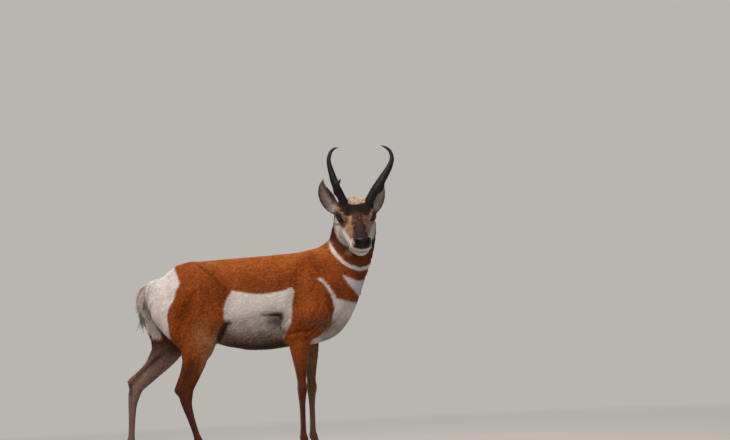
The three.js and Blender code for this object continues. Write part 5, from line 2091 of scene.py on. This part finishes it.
@dataclass
class Hoof:
    """The two claws of one foot."""

    leg: str
    foot: tuple[float, float]
    side: int
    top: float = 34.0
    cleft: float = 2.0
    inset: float = 0.3
    steps: int = 36
    tiers: int = 16

    def claw(self, inside: int) -> tuple[Array, list[list[int]]]:
        """Lofts one claw from the coronet down to its flat sole.

        Args:
            inside: the way to the cleft along Y.

        Returns:
            Vertices and faces.
        """
        heights = [0, 3, 22, self.top]
        heel, toe, width = [22, 24, 22, 17], [48, 45, 26, 18], [24, 25, 22, 20]  # reach at each height
        x, y = self.foot
        points, faces = [], []
        levels = np.linspace(self.top, 0, self.tiers + 1)
        for z in levels:
            sizes = [float(through(heights, v, np.array([z]))[0]) for v in (heel, toe, width)]
            edge = 0.9 * float(ramp(np.array([z]), 2.4, 0)[0])
            ridge = 0.25 * math.sin(z * 1.9) * float(ramp(np.array([z]), 0, 5)[0])
            for k in range(self.steps):
                angle = -2 * math.pi * k / self.steps
                along = math.cos(angle)
                taper = 1 - 0.55 * along ** 3 if along > 0 else 1
                across = 0.14 if math.sin(angle) * inside > 0 else 1
                reach = (sizes[1] if along > 0 else sizes[0]) - edge - self.inset + ridge
                half = (sizes[2] * 0.86 - edge - self.inset + ridge) * math.sin(angle) * across * taper
                points.append((x + reach * along, y - inside * (self.cleft + 3) + half, z))
        for i in range(self.tiers):
            faces += ring_quads(i * self.steps, (i + 1) * self.steps, self.steps, turned=True)
        faces.append(list(range(self.steps))[::-1])
        faces.append(list(range(self.tiers * self.steps, (self.tiers + 1) * self.steps)))
        return np.array(points), faces

    def build(self, finish: Material) -> Piece:
        """Joins the two claws.

        Args:
            finish: the hoof's keratin.

        Returns:
            The hoof.
        """
        points, faces = [], []
        for inside in (-self.side, self.side):
            p, f = self.claw(inside)
            faces += [[i + sum(len(q) for q in points) for i in face] for face in f]
            points.append(p)
        made = mesh_object(f"hoof_{self.leg}", np.concatenate(points), faces)
        made.data.materials.append(finish)
        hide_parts(f"hoof_{self.leg}_outer", f"hoof_{self.leg}_inner")
        return made


@dataclass(frozen=True)
class Lamp:
    """A soft square lamp: place, height of its aim and size in metres, power in watts."""

    name: str
    place: Triple
    aim: float
    size: float
    power: float
    tint: str

    def hang(self) -> None:
        """Adds the lamp to the scene."""
        data = bpy.data.lights.new(self.name, "AREA")
        data.size, data.energy = self.size, self.power
        data.color = tuple(linear(self.tint))
        made = bpy.data.objects.new(self.name, data)
        made.location = self.place
        made.rotation_euler = (Vector((0, 0, self.aim)) - Vector(self.place)).to_track_quat("-Z", "Y").to_euler()
        bpy.context.scene.collection.objects.link(made)


LAMPS = [
    Lamp("key", (-1.0, -2.1, 4.9), 0.8, 2.0, 285, "#fff4e8"),
    Lamp("fill", (3.4, -3.8, 1.8), 0.8, 3.0, 26, "#eef3ff"),
    Lamp("rim", (0.8, 3.2, 3.8), 0.9, 2.0, 70, "#ffffff"),
]


@dataclass
class Studio:
    """Pale floor, soft light and the camera."""

    middle: Triple = (522.7, -60.0, 965.3)
    distance: float = 14.0
    field_width: float = 2.993
    pitch: float = math.radians(1.3)
    roll: float = math.radians(3.0)
    pale: str = "#b9b6b1"
    fade: tuple[float, float] = (1.8, 4.6)  # where the floor begins to fade and is gone, in metres
    air: str = "#e4e6ea"
    air_strength: float = 0.27

    def point(self, x: float, y: float, z: float) -> Vector:
        """A place in the animal's own frame, in the scene's metres."""
        return Vector((np.array([x, y, z]) + SHIFT) / 1000)

    def camera(self) -> None:
        """Sets the camera at the viewing angle of the photograph."""
        data = bpy.data.cameras.new("camera")
        data.sensor_width = 36.0
        data.lens = 36.0 * self.distance / self.field_width
        data.clip_end = 300.0
        made = bpy.data.objects.new("camera", data)
        bpy.context.scene.collection.objects.link(made)
        ahead = Vector((0, math.cos(self.pitch), math.sin(self.pitch)))
        across, over = Vector((1, 0, 0)), Vector((0, -math.sin(self.pitch), math.cos(self.pitch)))
        right = across * math.cos(self.roll) - over * math.sin(self.roll)
        up = across * math.sin(self.roll) + over * math.cos(self.roll)
        turn = Matrix((right, up, -ahead)).transposed().to_4x4()
        made.matrix_world = Matrix.Translation(self.point(*self.middle) - ahead * self.distance) @ turn
        bpy.context.scene.camera = made

    def floor(self) -> None:
        """Lays a matt floor that fades away at a distance."""
        made, tree, surface = new_material("matt studio paper")
        surface.inputs["Base Color"].default_value = rgba(linear(self.pale))
        surface.inputs["Roughness"].default_value = 0.95
        place = add_node(tree, "TexCoord", {})
        reach = add_node(tree, "VectorMath", {"operation": "LENGTH"}, i0=place.outputs["Object"])
        near, far = self.fade
        fade = add_node(
            tree, "MapRange", {"in:From Min": near, "in:From Max": far, "in:To Min": 1.0, "in:To Max": 0.0},
            Value=reach.outputs["Value"],
        )
        tree.links.new(fade.outputs["Result"], surface.inputs["Alpha"])
        rings, steps = (2.0, 6.0, 12.0, 20.0), 64
        turns = [2 * math.pi * k / steps for k in range(steps)]
        points = [(0.0, 0.0, 0.0)] + [(r * math.cos(t), r * math.sin(t), 0.0) for r in rings for t in turns]
        faces = [[0, 1 + k, 1 + (k + 1) % steps] for k in range(steps)]
        for i in range(len(rings) - 1):
            faces += ring_quads(1 + i * steps, 1 + (i + 1) * steps, steps)
        data = bpy.data.meshes.new("floor")
        data.from_pydata(points, [], faces)
        data.materials.append(made)
        floor = bpy.data.objects.new("floor", data)
        bpy.context.scene.collection.objects.link(floor)

    def build(self) -> None:
        """Sets up floor, lamps, air and camera."""
        scene = bpy.context.scene
        scene.view_settings.view_transform = "Standard"
        world = bpy.data.worlds.new("studio air")
        world.use_nodes = True
        tree = world.node_tree
        air = tree.nodes["Background"]
        air.inputs["Color"].default_value = rgba(linear(self.air))
        air.inputs["Strength"].default_value = self.air_strength
        paper = add_node(tree, "Background", {"in:Color": rgba(linear(self.pale)), "in:Strength": 1.0})
        seen = add_node(tree, "LightPath", {})
        both = add_node(
            tree, "MixShader", {}, i0=seen.outputs["Is Camera Ray"], i1=air.outputs["Background"],
            i2=paper.outputs["Background"],
        )
        tree.links.new(both.outputs["Shader"], tree.nodes["World Output"].inputs["Surface"])
        scene.world = world
        for lamp in LAMPS:
            lamp.hang()
        self.floor()
        self.camera()


FLESH_NODES = ["torso", "neck", "head", "tail", "ear_left", "ear_right"] + [
    f"{end}_leg_{side}" for end in ("fore", "hind") for side in ("left", "right")
]


def main() -> None:
    """Builds the animal piece by piece, then the studio."""
    flesh = Flesh()
    hair, skin = HairFinish().make(), HideFinish().make()
    hide = Hide(flesh)
    hide.build([EarShell(EAR_RIGHT, 0.5, True), EarShell(EAR_LEFT, -0.5, False)])
    hide.made.data.materials.append(skin)
    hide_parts(*FLESH_NODES)
    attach(hide.made, "root")
    log.info("hide: %d faces", len(hide.made.data.polygons))

    for piece in Coat(hide, flesh).build():
        piece.data.materials.append(hair)
        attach(piece, "root")

    horn, hoof, wet = HORN_KERATIN.make(), HOOF_KERATIN.make(), EyeFinish().make()
    rng = np.random.default_rng(19)
    pieces = [Horn(side).build(horn) for side in Side]
    for socket in flesh.sockets:
        eye = Eye(socket)
        pieces += [eye.ball(wet), eye.lash_row(hair, rng)]
    for leg, limb in LIMBS.items():
        foot = limb.stations[-1]
        pieces.append(Hoof(leg, (foot[0], foot[1] * limb.side), limb.side).build(hoof))
    for piece in pieces:
        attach(piece, "root")
        log.info("%s: %d faces", piece.name, len(piece.data.polygons))

    Studio().build()


if __name__ == "__main__":
    main()
